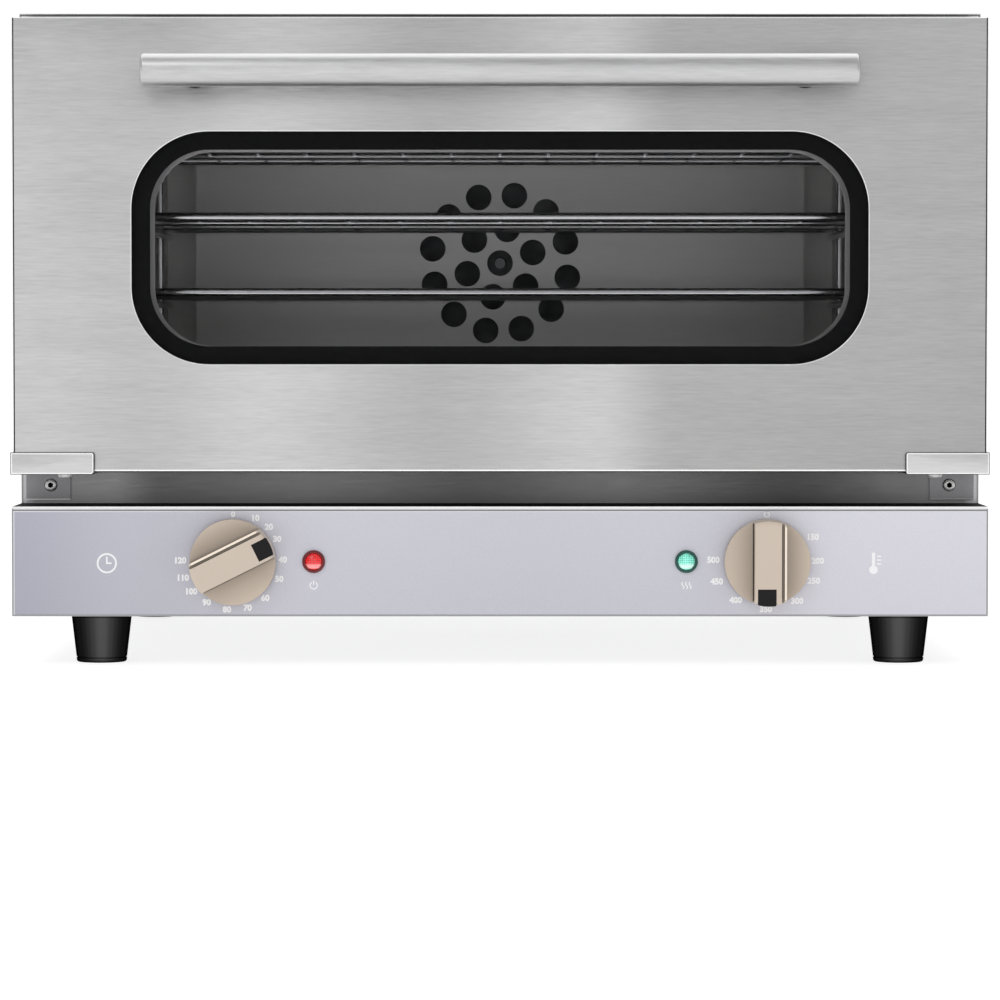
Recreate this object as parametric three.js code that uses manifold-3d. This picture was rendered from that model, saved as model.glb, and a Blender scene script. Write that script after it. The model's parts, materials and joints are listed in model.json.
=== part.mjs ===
// A half-size countertop convection oven: stainless cabinet on four feet, drop-down glass door,
// control strip below it with a timer knob, a temperature knob and two pilot lamps, and inside it
// a lined cavity with wire racks, a rear fan, a ring heater and their motor.
// Units are millimetres. X runs to the viewer's right, Y runs from the door to the back, Z is up.
// Inside this file Y is measured from the front frame's face; the group at the end centres it.
import * as THREE from "three";
import { mergeVertices } from "three/addons/utils/BufferGeometryUtils.js";
import Module from "manifold-3d";

const wasm = await Module();
wasm.setup();

// Cabinet
const cabinetWidth = 595;
const cabinetHeight = 400;
const cabinetDepth = 476;
const footHeight = 31;
const casingSheet = 1;
const frontSheet = 1.2;
const seatGap = 0.3; // between pieces that rest on each other
const bearingGap = 0.1; // round a pin or shaft that turns
const cutOverrun = 5; // how far a cutter runs past what it cuts
const panelFold = 14; // return flanges of the folded sheets
const topFold = 22;
const sideInset = 1.6; // side panels sit this far inside the control panel's ends
const panelCornerRadius = 8;

// Control strip
const doorStandoff = 54; // front frame's face to the door's and control panel's front face
const panelHeight = 67;
const railDrop = 10; // the front frame reaches this far below the strip's ledge
const panelReturn = 14;
const fasciaThickness = 0.5;
const fasciaInset = 1.2;
const knobInset = 135; // strip's end to the knob's axis
const lampGap = 49; // knob's axis to the lamp's
const shaftRadius = 3;
const shaftHoleRadius = 5;

// Knobs
const knobRadius = 26.2;
const knobHeight = 22;
const knobStandoff = 1;
const knobRimHeight = 13;
const scoopFloorHeight = 8;
const ridgeSideWidth = 10.9; // grip's half-width on the side with the groove
const plainSideWidth = 9.6;
const grooveOuter = 9.3;
const grooveInner = 6.7;
const grooveDepth = 1.6;
const flatCentre = 1; // middle of the grip's flat top, off the knob's axis
const pointerWidth = 11;
const pointerLength = 10.3;
const pointerThickness = 2.4;
const knobBoreDepth = 14;
const scoopBendShare = 0.8; // of the knob's radius, where the scoop's floor turns up
const timerPointerDegrees = 63.5; // clockwise from the top, seen from the front
const tempPointerDegrees = 180;

// Pilot lamps
const lensRadius = 7;
const lensRimHeight = 2;
const lensDomeRadius = 5.2;
const lensDomeHeight = 4.4;
const lensRimShares = [0.6, 0.93]; // bevel's start up the rim, and its top radius
const lensDomeShares = [
  [1, 0.45],
  [0.8, 0.8],
  [0.45, 0.96],
  [0, 1],
]; // radius and height
const lampHoleRadius = 6;
const lampStemLength = 4;
const lampBodyRadius = 6.4;
const lampBodyLength = 24;

// Timer, thermostat and terminal block behind the strip
const timerBodyMargin = 9.5; // above and below it inside the strip
const timerBodyDepth = 40;
const thermostatMargin = 14.5;
const thermostatDepth = 30;
const shaftEngagement = 8;
const terminalBlockWidth = 44;
const terminalBlockDepth = 26;
const terminalBlockHeight = 22;
const terminalPoleWidth = 9;
const terminalPolePitch = 12.6;
const terminalSlotDepth = 8;
const terminalBlockBack = 30; // from the back panel

// Feet
const footTopRadius = 18.8;
const footBottomRadius = 15.3;
const footLipHeight = 3;
const footSideInset = 51.5;
const frontFootGap = 3.2; // behind the control strip's bottom return
const rearFootInset = 60;

// Oven cavity
const cavitySideMargin = 61.5; // cabinet's side to the cavity's wall, which leaves 472 mm inside
const cavityFloorLift = 33; // above the strip's ledge
const cavityRearMargin = 76.5;
const linerSheet = 1;
const linerFlange = 12;
const insulationThickness = 22;
const insulationHeadroom = 3.7; // below the top cover
const insulationHoleRadius = 62;

// Rack guides and wire racks
const levelCount = 4;
const firstLevelLift = 45; // above the cavity's floor
const topLevelDrop = 56; // below its ceiling
const guideRodRadius = 2.5;
const guideRodBite = 1.1; // how far the runners run into the posts
const guideFront = 14;
const guideRearGap = 12; // to the baffle
const guidePostInset = 41; // runner's end to the post
const guidePostReach = 20; // past the first and the last runner
const rackSideGap = 6;
const rackFront = 10;
const rackRearGap = 8; // to the baffle
const rackBar = 6;
const rackWireRadius = 1.6;
const rackWireCount = 13;
const rackStayRadius = 2.2;
const rackStayShares = [1 / 3, 2 / 3]; // of the rack's depth

// Fan, heater and baffle
const baffleSideGap = 24;
const baffleMargin = 4;
const baffleSheet = 1;
const grilleHoleRadius = 9;
const grilleHolePitch = 24;
const grilleRings = 2;
const grilleTwistShare = 0.3;
const outletSlotWidth = 20;
const outletSlotBridge = 7.2;
const outletSlotCount = 5;
const outletSlotInset = 14;
const impellerGap = 22; // its rim to the heater ring's centre line
const impellerWidth = 22;
const impellerPlate = 1.5;
const impellerHubRadius = 12;
const bladeCount = 20;
const bladeThickness = 1.4;
const bladeLength = 26;
const bladeLeanDegrees = 28;
const impellerSetback = 22; // behind the baffle's face
const impellerRearGap = 9; // to the cavity's back
const motorShaftRadius = 4;
const shaftNose = 6;
const shaftPort = 9;
const heaterClearance = 15; // ring's centre line to the cavity's floor and ceiling
const heaterTubeRadius = 4;
const heaterSetback = 30; // behind the baffle's face
const heaterTerminalSpread = 16;
const heaterBend = 12;
const heaterTail = 14;
const motorRadius = 38;
const motorRearGap = 10.2; // to the back panel
const motorBoreDepth = 14;
const motorLegRadius = 3.5;
const motorLegInset = 1.2; // legs' centres inside the motor's rim
const motorLegLength = 20;
const bulbRadius = 3;
const bulbLength = 150;
const bulbRearGap = 25; // to the baffle
const bulbDrop = 17; // below the cavity's ceiling
const bulbClipWidth = 6;
const bulbClipShares = [0.2, 0.8]; // of the bulb's length

// Back panel
const ventSlotWidth = 60;
const ventSlotHeight = 4;
const ventSlotPitch = 12;
const ventSlotCount = 9;
const ventColumnSpacing = 90;
const glandInset = 82.5; // from the cabinet's right side
const glandLift = 32; // above the cabinet's bottom
const glandRadius = 11;
const glandNutRadius = 14;
const glandNutThickness = 6;
const glandLength = 18;
const glandBoreRadius = 4.5;
const glandHoleRadius = 9;
const glandTaperShare = 0.9;
const sideSlotWidth = 5;
const sideSlotHeight = 34;
const sideSlotPitch = 14;
const sideSlotCount = 10;
const sideSlotLift = 36; // middle of the slots above the cabinet's bottom
const sideSlotRear = 60;

// Door
const doorSideGap = 1; // inside the cabinet's side
const doorBottomGap = 21; // above the strip's ledge
const doorTopGap = 6;
const doorSheet = 1;
const doorBack = 10.3; // front frame's face to the door's inner face
const skinRearGap = 12; // front frame's face to the skin's folded edge
const innerFold = 14;
const innerPanelLift = 2.2; // clears the gasket as the door swings
const windowSideMargin = 72.5;
const windowBottomMargin = 65.6;
const windowTopMargin = 69;
const windowCornerRadius = 47;
const windowEdge = 20; // least straight stretch at the window's ends
const innerWindowInset = 11;
const glassThickness = 4;
const glassLap = 13;
const spacerWall = 3;
const gasketInset = 2; // opening's edge to the gasket
const gasketWidth = 8;

// Handle
const handleDrop = 34; // below the door's top
const handleInset = 81.5; // door's side to the bar's end
const handleOverhang = 30; // bar's end to the post
const handleRadius = 10;
const handleReach = 38; // door face to the bar's axis
const handlePostRadius = 9;
const handleWall = 1.5;
const handleBoltRadius = 2.6;

// Hinges, measured inwards from the door's side, up from its bottom and back from its face
const hingeSetback = 12;
const hingeLift = 5.5;
const hingePinRadius = 3;
const hingeArmInset = 4;
const hingeArmThickness = 2;
const hingeArmHalfHeight = 6.2;
const hingeFlangeThickness = 1.5;
const hingeFlangeInset = 2.5;
const hingeFlangeReach = 30;
const hingeFlangeLift = 2; // above the strip's ledge
const hingeFlangeRise = 13;
const bracketSheet = 1.2;
const bracketLength = 51;
const bracketRise = 12;
const bracketTabDepth = 40;
const bracketCheekDepth = 26;
const bracketEarGap = 1.85; // spring's last turn to the ear that carries the pin's end
const bracketEarRelief = 2; // ear's edge to the slot's
const hingeSlotInset = 2.5;
const hingeSlotGap = 1.8; // ear's inner face to the slot's end
const hingeSlotRise = 15;
const hingeSlotSetback = 3;
const springWireRadius = 0.8;
const springPinGap = 0.7;
const springPitch = 2.15;
const springTurns = 5;
const springInset = 9.1;
const springTipGap = 0.7; // front leg's end to the door's skin
const springSamples = 900; // points at which its gap to itself is measured

// Screws
const screwShankRadius = 2;
const railScrewGap = 3.2; // its axis to the side panel's folded edge
const railScrewLift = 11.3; // above the strip's ledge
const railScrewHeadRadius = 3.9;
const railScrewHeadHeight = 2.4;
const railScrewLength = 9;
const bracketScrewGap = 5; // its axis to the slot's end
const bracketScrewSetback = 14;
const bracketScrewHeadRadius = 4.6;
const bracketScrewHeadHeight = 2;
const bracketScrewLength = 8;
const socketRadius = 1.5;
const socketDepth = 1.2;
const screwHeadShares = [
  [0.6, 1],
  [0.9, 0.6],
  [1, 0],
]; // radius and height

// How finely round shapes are cut
const roundSides = 32;
const knobSides = 48;
const lensSides = 20;
const smallSides = 16;
const tubeSides = 8;
const wireSides = 6;
const springWireSides = 5;
const springSteps = 64;
const heaterSteps = 60;
const cornerSteps = 7;
const weldTolerance = 1e-4;

// Places that follow from the sizes above
const halfWidth = cabinetWidth / 2;
const frontFace = -doorStandoff;
const panelBottom = footHeight - casingSheet;
const panelTop = panelBottom + panelHeight;
const controlHeight = panelBottom + panelHeight / 2;
const knobOffset = halfWidth - knobInset;
const lampOffset = knobOffset - lampGap;
const timerBodyWidth = panelHeight - 2 * timerBodyMargin;
const thermostatWidth = panelHeight - 2 * thermostatMargin;
const basePanBottom = footHeight + seatGap;
const sideOuter = halfWidth - sideInset;
const sideInner = sideOuter - casingSheet;
const coverBottom = cabinetHeight - casingSheet;
const backPanelFront = cabinetDepth - casingSheet;
const fasciaFront = frontFace - seatGap - fasciaThickness;
const knobSeat = fasciaFront - knobStandoff;
const stripBack = frontFace + frontSheet + seatGap;
const frameBottom = panelTop - railDrop;
const frameTop = coverBottom - seatGap;
const footOffset = halfWidth - footSideInset;
const frontFootPlace = frontFace + panelReturn + frontFootGap + footTopRadius;

const halfCavity = halfWidth - cavitySideMargin;
const cavityFloor = panelTop + cavityFloorLift;
const cavityCeiling = coverBottom - insulationHeadroom - insulationThickness - seatGap - linerSheet;
const linerFront = frontSheet + seatGap;
const cavityBack = cabinetDepth - cavityRearMargin;
const linerBack = cavityBack + linerSheet;
const fanRoomDepth = impellerSetback + impellerWidth + impellerPlate + impellerRearGap;
const baffleFront = cavityBack - fanRoomDepth;
const firstLevel = cavityFloor + firstLevelLift;
const levelPitch = (cavityCeiling - topLevelDrop - firstLevel) / (levelCount - 1);
const levels = Array.from({ length: levelCount }, (_, i) => firstLevel + i * levelPitch);
const guideRear = baffleFront - guideRearGap;
const guidePostOffset = halfCavity - seatGap - guideRodRadius;
const runnerOffset = guidePostOffset - 2 * guideRodRadius + guideRodBite;
const halfRack = halfCavity - rackSideGap;
const rackRear = baffleFront - rackRearGap;

const fanHeight = (cavityFloor + cavityCeiling) / 2;
const heaterRingRadius = (cavityCeiling - cavityFloor) / 2 - heaterClearance;
const heaterRingDepth = baffleFront + heaterSetback;
const impellerRadius = heaterRingRadius - impellerGap;
const impellerFront = baffleFront + impellerSetback;
const impellerRear = impellerFront + impellerWidth;
const motorFront = linerBack + seatGap + motorLegLength;
const motorLegSpread = (motorRadius - motorLegInset) / Math.SQRT2;
const glandOffset = halfWidth - glandInset;
const glandHeight = panelBottom + glandLift;

const halfDoor = halfWidth - doorSideGap;
const doorBottom = panelTop + doorBottomGap;
const doorTop = cabinetHeight - doorTopGap;
const skinBack = -skinRearGap;
const innerPanelHalfWidth = halfDoor - doorSheet - seatGap;
const windowHalfWidth = halfDoor - windowSideMargin;
const windowBottom = doorBottom + windowBottomMargin;
const windowTop = doorTop - windowTopMargin;
const windowRadius = Math.min(windowCornerRadius, (windowTop - windowBottom - windowEdge) / 2);
const outerGlassFront = frontFace + doorSheet + seatGap;
const innerGlassFront = -doorBack - doorSheet - seatGap - glassThickness;
const handleHeight = doorTop - handleDrop;
const handleAxisY = frontFace - handleReach;
const halfHandle = halfDoor - handleInset;
const handlePostOffset = halfHandle - handleOverhang;

const hingeAxis = { y: frontFace + hingeSetback, z: doorBottom + hingeLift };
const springCoilRadius = hingePinRadius + springPinGap + springWireRadius;
const springEnd = halfDoor - springInset - springPitch * springTurns - springWireRadius;
const bracketEar = springEnd - bracketEarGap - bracketSheet;
const bracketEarHalfDepth = hingeSetback - hingeSlotSetback - bracketEarRelief;
const hingeSlotInner = bracketEar - hingeSlotGap;
const railScrewOffset = sideOuter - panelFold - railScrewGap;
const railScrewHeight = panelTop + railScrewLift;
const bracketScrewPlace = { x: hingeSlotInner - bracketScrewGap, y: frontFace + bracketScrewSetback };

// Finishes
function finish(color, roughness, metalness) {
  return new THREE.MeshStandardMaterial({ color, roughness, metalness });
}
const brushedSteel = finish(0xc6c6c6, 0.34, 0.9);
const darkSteel = finish(0x8c8c8c, 0.4, 0.9);
const liningSteel = finish(0xa9a9a7, 0.35, 0.9);
const wireChrome = finish(0xd0d0d0, 0.2, 1);
const fasciaGrey = finish(0xc6c6cf, 0.5, 0.3);
const champagnePlastic = finish(0xc9bca8, 0.45, 0.15);
const blackPlastic = finish(0x1a1a1a, 0.5, 0);
const blackRubber = finish(0x222222, 0.7, 0);
const redLens = finish(0xd81f26, 0.15, 0);
const greenLens = finish(0x7fe8cf, 0.15, 0);
const clearGlass = new THREE.MeshStandardMaterial({
  color: 0x202224,
  roughness: 0.05,
  metalness: 0,
  transparent: true,
  opacity: 0.4,
});
const heaterSheath = finish(0x4b4743, 0.5, 0.7);
const castAlloy = finish(0x77797b, 0.55, 0.7);
const mineralWool = finish(0xcfc9b4, 0.95, 0);
const whiteCeramic = finish(0xe6e2d8, 0.4, 0);

// A geometry as a manifold solid
function solid(geometry) {
  const bare = geometry.index ? geometry.toNonIndexed() : geometry.clone();
  for (const extra of ["normal", "uv"]) bare.deleteAttribute(extra);
  const welded = mergeVertices(bare, weldTolerance);
  return new wasm.Manifold(
    new wasm.Mesh({
      numProp: 3,
      vertProperties: welded.attributes.position.array,
      triVerts: new Uint32Array(welded.index.array),
    }),
  );
}

function join(...solids) {
  return solids.reduce((whole, next) => whole.add(next));
}

function cut(body, ...cutters) {
  return cutters.reduce((rest, next) => rest.subtract(next), body);
}

// Moves every vertex of a unit shape to the place that a function gives for it
function placed(geometry, placeOf) {
  const position = geometry.attributes.position;
  for (let i = 0; i < position.count; i++) {
    position.setXYZ(i, ...placeOf(position.getX(i), position.getY(i), position.getZ(i)));
  }
  return solid(geometry);
}

// A box between two corners, given in any order
function block(...spans) {
  const ends = spans.map(([a, b]) => [Math.min(a, b), Math.max(a, b)]);
  return placed(new THREE.BoxGeometry(1, 1, 1), (...corner) =>
    corner.map((side, i) => ends[i][side > 0 ? 1 : 0]),
  );
}

// A round bar along one axis, from low to high, through the point given by the other two places
function bar(axis, [a, b], { x = 0, y = 0, z = 0 }, radius, sides = smallSides, endRadius = radius) {
  const ends = [Math.min(a, b), Math.max(a, b)];
  const geometry = new THREE.CylinderGeometry(endRadius, radius, 1, sides);
  return placed(geometry, (across, along, up) => {
    const end = ends[along > 0 ? 1 : 0];
    if (axis === "x") return [end, y - across, z + up];
    if (axis === "y") return [x + across, end, z + up];
    return [x + across, y - up, end];
  });
}

// Extrudes an outline that lies in the XZ plane for "y", the YZ plane for "x" and the XY plane for "z"
function extrude(normal, outline, [low, high], steps) {
  const settings = { depth: 1, bevelEnabled: false, curveSegments: steps };
  const geometry = new THREE.ExtrudeGeometry(outline, settings);
  return placed(geometry, (u, v, along) => {
    if (normal === "x") return [along ? high : low, u, v];
    if (normal === "y") return [u, along ? low : high, v];
    return [u, v, along ? high : low];
  });
}

// A flat plate of that outline, with the outline's holes cut through it
function plate(normal, outline, [low, high], steps = cornerSteps) {
  const through = [low - cutOverrun, high + cutOverrun];
  const solidOf = (path, span) => extrude(normal, new THREE.Shape(path.getPoints(steps)), span, steps);
  return cut(solidOf(outline, [low, high]), ...outline.holes.map((hole) => solidOf(hole, through)));
}

function rectangle([x0, x1], [z0, z1], Kind = THREE.Shape) {
  const path = new Kind();
  path.moveTo(x0, z0).lineTo(x1, z0).lineTo(x1, z1).lineTo(x0, z1).closePath();
  return path;
}

function roundedRectangle([x0, x1], [z0, z1], radius, Kind = THREE.Shape) {
  const path = new Kind();
  path.moveTo(x0 + radius, z0);
  path.lineTo(x1 - radius, z0);
  path.absarc(x1 - radius, z0 + radius, radius, -Math.PI / 2, 0);
  path.lineTo(x1, z1 - radius);
  path.absarc(x1 - radius, z1 - radius, radius, 0, Math.PI / 2);
  path.lineTo(x0 + radius, z1);
  path.absarc(x0 + radius, z1 - radius, radius, Math.PI / 2, Math.PI);
  path.lineTo(x0, z0 + radius);
  path.absarc(x0 + radius, z0 + radius, radius, Math.PI, 1.5 * Math.PI);
  path.closePath();
  return path;
}

// A mesh from a solid
function part(name, body, material) {
  const { vertProperties, triVerts } = body.asOriginal().getMesh();
  const geometry = new THREE.BufferGeometry();
  geometry.setAttribute("position", new THREE.BufferAttribute(new Float32Array(vertProperties), 3));
  geometry.setIndex(new THREE.BufferAttribute(new Uint32Array(triVerts), 1));
  geometry.computeVertexNormals();
  const mesh = new THREE.Mesh(geometry, material);
  mesh.name = name;
  return mesh;
}

const sides = [
  { name: "left", s: -1 },
  { name: "right", s: 1 },
];

// Casing
function sidePanel({ name, s }) {
  const front = frontSheet + seatGap;
  const rear = backPanelFront - seatGap;
  const top = coverBottom - seatGap;
  const slotMiddle = panelBottom + sideSlotLift;
  const outline = rectangle([front, rear], [basePanBottom, top]);
  for (let i = 0; i < sideSlotCount; i++) {
    const y = rear - sideSlotRear - i * sideSlotPitch;
    outline.holes.push(
      rectangle(
        [y - sideSlotWidth / 2, y + sideSlotWidth / 2],
        [slotMiddle - sideSlotHeight / 2, slotMiddle + sideSlotHeight / 2],
        THREE.Path,
      ),
    );
  }
  const wall = s > 0 ? [sideInner, sideOuter] : [-sideOuter, -sideInner];
  const inward = [s * sideOuter, s * (sideOuter - panelFold)];
  const sheetBody = join(
    plate("x", outline, wall),
    block(inward, [front, front + casingSheet], [panelTop, top]),
    block(inward, [rear - casingSheet, rear], [basePanBottom, top]),
  );
  return part(`side_panel_${name}`, sheetBody, brushedSteel);
}

function topCover() {
  const flanges = sides.map(({ s }) =>
    block(
      [s * halfWidth, s * (halfWidth - casingSheet)],
      [frontSheet + seatGap, cabinetDepth],
      [cabinetHeight - topFold, cabinetHeight],
    ),
  );
  const sheetBody = join(
    block([-halfWidth, halfWidth], [0, cabinetDepth], [coverBottom, cabinetHeight]),
    ...flanges,
  );
  return part("top_cover", sheetBody, brushedSteel);
}

function backPanel() {
  const half = sideOuter;
  const outline = rectangle([-half, half], [basePanBottom, coverBottom - seatGap]);
  const columns = [-ventColumnSpacing / 2, ventColumnSpacing / 2];
  for (const x of columns) {
    for (let i = 0; i < ventSlotCount; i++) {
      const z = fanHeight + (i - (ventSlotCount - 1) / 2) * ventSlotPitch;
      outline.holes.push(
        rectangle(
          [x - ventSlotWidth / 2, x + ventSlotWidth / 2],
          [z - ventSlotHeight / 2, z + ventSlotHeight / 2],
          THREE.Path,
        ),
      );
    }
  }
  const glandHole = new THREE.Path().absarc(glandOffset, glandHeight, glandHoleRadius, 0, 2 * Math.PI);
  outline.holes.push(glandHole);
  const sheetBody = plate("y", outline, [backPanelFront, cabinetDepth]);
  return part("back_panel", sheetBody, brushedSteel);
}

function frontFrame() {
  const half = halfWidth - seatGap;
  const outline = rectangle([-half, half], [frameBottom, frameTop]);
  const opening = [cavityFloor, cavityCeiling];
  outline.holes.push(roundedRectangle([-halfCavity, halfCavity], opening, panelCornerRadius, THREE.Path));
  for (const { s } of sides) {
    const hole = new THREE.Path();
    hole.absarc(s * railScrewOffset, railScrewHeight, screwShankRadius + seatGap, 0, 2 * Math.PI);
    outline.holes.push(hole);
  }
  const returns = sides.map(({ s }) =>
    block(
      [s * half, s * (sideOuter + seatGap)],
      [0, panelFold],
      [frameBottom, cabinetHeight - topFold - seatGap],
    ),
  );
  const topReturn = block([-sideInner, sideInner], [0, panelFold], [frameTop - frontSheet, frameTop]);
  const relief = sides.map(({ s }) =>
    block(
      [s * (sideOuter - panelFold - seatGap), s * sideInner],
      [frontSheet, panelFold + seatGap],
      [frameTop - frontSheet - seatGap, frameTop + seatGap],
    ),
  );
  const sheetBody = join(plate("y", outline, [0, frontSheet]), ...returns, topReturn);
  return part("front_frame", cut(sheetBody, ...relief), darkSteel);
}

// Control strip
function panelHole(x, radius) {
  return new THREE.Path().absarc(x, controlHeight, radius, 0, 2 * Math.PI);
}

const controlHoles = [
  [-knobOffset, shaftHoleRadius],
  [knobOffset, shaftHoleRadius],
  [-lampOffset, lampHoleRadius],
  [lampOffset, lampHoleRadius],
];

function controlPanel() {
  const outline = rectangle([-halfWidth, halfWidth], [panelBottom, panelTop]);
  for (const [x, radius] of controlHoles) outline.holes.push(panelHole(x, radius));
  const face = plate("y", outline, [frontFace, frontFace + frontSheet]);
  const ledge = block([-halfWidth, halfWidth], [frontFace, -seatGap], [panelTop - frontSheet, panelTop]);
  const bottomReturn = block(
    [-halfWidth, halfWidth],
    [frontFace, frontFace + panelReturn],
    [panelBottom, panelBottom + casingSheet],
  );
  const ends = sides.map(({ s }) =>
    block([s * halfWidth, s * (halfWidth - frontSheet)], [frontFace, -seatGap], [panelBottom, panelTop]),
  );
  return part("control_panel", join(face, ledge, bottomReturn, ...ends), brushedSteel);
}

function fasciaOverlay() {
  const half = halfWidth - fasciaInset;
  const outline = rectangle([-half, half], [panelBottom + fasciaInset, panelTop - fasciaInset]);
  for (const [x, radius] of controlHoles) outline.holes.push(panelHole(x, radius));
  return part("fascia_overlay", plate("y", outline, [fasciaFront, frontFace - seatGap]), fasciaGrey);
}

function basePan() {
  const half = sideInner - seatGap;
  const front = stripBack;
  const rear = backPanelFront - casingSheet - 2 * seatGap;
  const floorTop = basePanBottom + casingSheet;
  const flangeTop = floorTop + panelFold;
  const flanges = [
    block([-half, half], [front, front + casingSheet], [basePanBottom, flangeTop - panelFold / 2]),
    block([-half, half], [rear - casingSheet, rear], [basePanBottom, flangeTop]),
    ...sides.map(({ s }) =>
      block([s * half, s * (half - casingSheet)], [front, rear - panelFold], [basePanBottom, flangeTop]),
    ),
  ];
  const floor = block([-half, half], [front, rear], [basePanBottom, floorTop]);
  const slots = [-1, 0, 1].map((n) =>
    block(
      [-ventSlotWidth, ventSlotWidth],
      [cavityBack / 2 + n * ventSlotPitch, cavityBack / 2 + n * ventSlotPitch + ventSlotHeight],
      [basePanBottom - cutOverrun, floorTop + seatGap],
    ),
  );
  return part("base_pan", cut(join(floor, ...flanges), ...slots), darkSteel);
}

// Knobs turn about Y. Each is drawn with its pointer up and its back at y = 0.
function knobBody() {
  const whole = bar("y", [-knobHeight, 0], {}, knobRadius, knobSides);
  const reach = knobRadius + cutOverrun;
  const above = knobHeight + cutOverrun;
  const scoops = [
    [-ridgeSideWidth, -1],
    [plainSideWidth, 1],
  ].map(([inner, s]) => {
    const outline = new THREE.Shape();
    outline.moveTo(inner, -above);
    outline.lineTo(inner, -scoopFloorHeight);
    outline.quadraticCurveTo(s * knobRadius * scoopBendShare, -scoopFloorHeight, s * reach, -knobRimHeight);
    outline.lineTo(s * reach, -above);
    return plate("z", outline, [-reach, reach]);
  });
  const groove = block(
    [-grooveOuter, -grooveInner],
    [-above, grooveDepth - knobHeight],
    [-reach, reach],
  );
  const bore = bar("y", [-knobBoreDepth, cutOverrun], {}, shaftRadius + seatGap);
  return cut(whole, ...scoops, groove, bore);
}

function pointerSpan(gap) {
  return block(
    [flatCentre - pointerWidth / 2 - gap, flatCentre + pointerWidth / 2 + gap],
    [-knobHeight - gap, pointerThickness + gap - knobHeight],
    [knobRadius - pointerLength - gap, knobRadius + gap],
  );
}

function pointerInsert() {
  const envelope = bar("y", [-knobHeight, 0], {}, knobRadius, knobSides);
  return pointerSpan(0).intersect(envelope);
}

function knobAssembly(prefix, s, pointerDegrees) {
  const group = new THREE.Group();
  group.position.set(s * knobOffset, knobSeat, controlHeight);
  group.rotation.y = THREE.MathUtils.degToRad(pointerDegrees);
  group.add(part(`${prefix}_knob`, cut(knobBody(), pointerSpan(seatGap)), champagnePlastic));
  group.add(part(`${prefix}_pointer`, pointerInsert(), blackPlastic));
  const shaftSpan = [seatGap - knobBoreDepth, stripBack - knobSeat + shaftEngagement];
  const shaft = bar("y", shaftSpan, {}, shaftRadius);
  group.add(part(`${prefix}_shaft`, shaft, darkSteel));
  return group;
}

function controlBody(name, s, width, depth) {
  const x = s * knobOffset;
  const front = stripBack;
  const body = join(
    block(
      [x - width / 2, x + width / 2],
      [front + casingSheet, front + depth],
      [controlHeight - width / 2, controlHeight + width / 2],
    ),
    block(
      [x - width / 2, x + width / 2],
      [front, front + 2 * casingSheet],
      [controlHeight - width / 4, controlHeight + width / 4],
    ),
  );
  const well = bar(
    "y",
    [front - cutOverrun, front + shaftEngagement + seatGap],
    { x, z: controlHeight },
    shaftRadius + seatGap,
  );
  return part(name, cut(body, well), castAlloy);
}

// Pilot lamps
function lens(name, s, material) {
  const [bevelStartShare, bevelTopShare] = lensRimShares;
  const profile = [
    [0, lampStemLength],
    [lampHoleRadius - seatGap, lampStemLength],
    [lampHoleRadius - seatGap, -seatGap],
    [lensRadius, -seatGap],
    [lensRadius, -lensRimHeight * bevelStartShare],
    [lensRadius * bevelTopShare, -lensRimHeight],
    ...lensDomeShares.map(([across, up]) => [lensDomeRadius * across, -lensDomeHeight * up]),
  ].map(([radius, y]) => new THREE.Vector2(radius, y));
  const body = solid(new THREE.LatheGeometry(profile.reverse(), lensSides));
  return part(name, body.translate([s * lampOffset, fasciaFront, controlHeight]), material);
}

function lampBody(name, s) {
  const front = fasciaFront + lampStemLength + seatGap;
  const centre = { x: s * lampOffset, z: controlHeight };
  return part(name, bar("y", [front, front + lampBodyLength], centre, lampBodyRadius), blackPlastic);
}

// Feet
function foot(name, x, y) {
  const lip = footTopRadius - (footLipHeight / footHeight) * (footTopRadius - footBottomRadius);
  const profile = [
    [0, 0],
    [footBottomRadius - footLipHeight / 3, 0],
    [footBottomRadius, footLipHeight / 3],
    [lip, footHeight - footLipHeight],
    [footTopRadius, footHeight],
    [0, footHeight],
  ].map(([radius, z]) => new THREE.Vector2(radius, z));
  const body = solid(new THREE.LatheGeometry(profile, roundSides).rotateX(Math.PI / 2));
  return part(name, body.translate([x, y, 0]), blackRubber);
}

function feet() {
  const rows = [
    ["front", frontFootPlace],
    ["rear", cabinetDepth - rearFootInset],
  ];
  return rows.flatMap(([row, y]) =>
    sides.map(({ name, s }) => foot(`foot_${row}_${name}`, s * footOffset, y)),
  );
}

// Cavity
function cavityLiner() {
  const outer = block(
    [-halfCavity - linerSheet, halfCavity + linerSheet],
    [linerFront, linerBack],
    [cavityFloor - linerSheet, cavityCeiling + linerSheet],
  );
  const flange = block(
    [-halfCavity - linerFlange, halfCavity + linerFlange],
    [linerFront, linerFront + linerSheet],
    [cavityFloor - linerFlange, cavityCeiling + linerFlange],
  );
  const hollow = block(
    [-halfCavity, halfCavity],
    [linerFront - cutOverrun, cavityBack],
    [cavityFloor, cavityCeiling],
  );
  const through = [cavityBack - cutOverrun, linerBack + cutOverrun];
  const ports = [
    bar("y", through, { z: fanHeight }, shaftPort),
    ...sides.map(({ s }) =>
      bar("y", through, heaterTerminal(s), heaterTubeRadius + seatGap),
    ),
  ];
  return part("cavity_liner", cut(join(outer, flange), hollow, ...ports), liningSteel);
}

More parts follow.
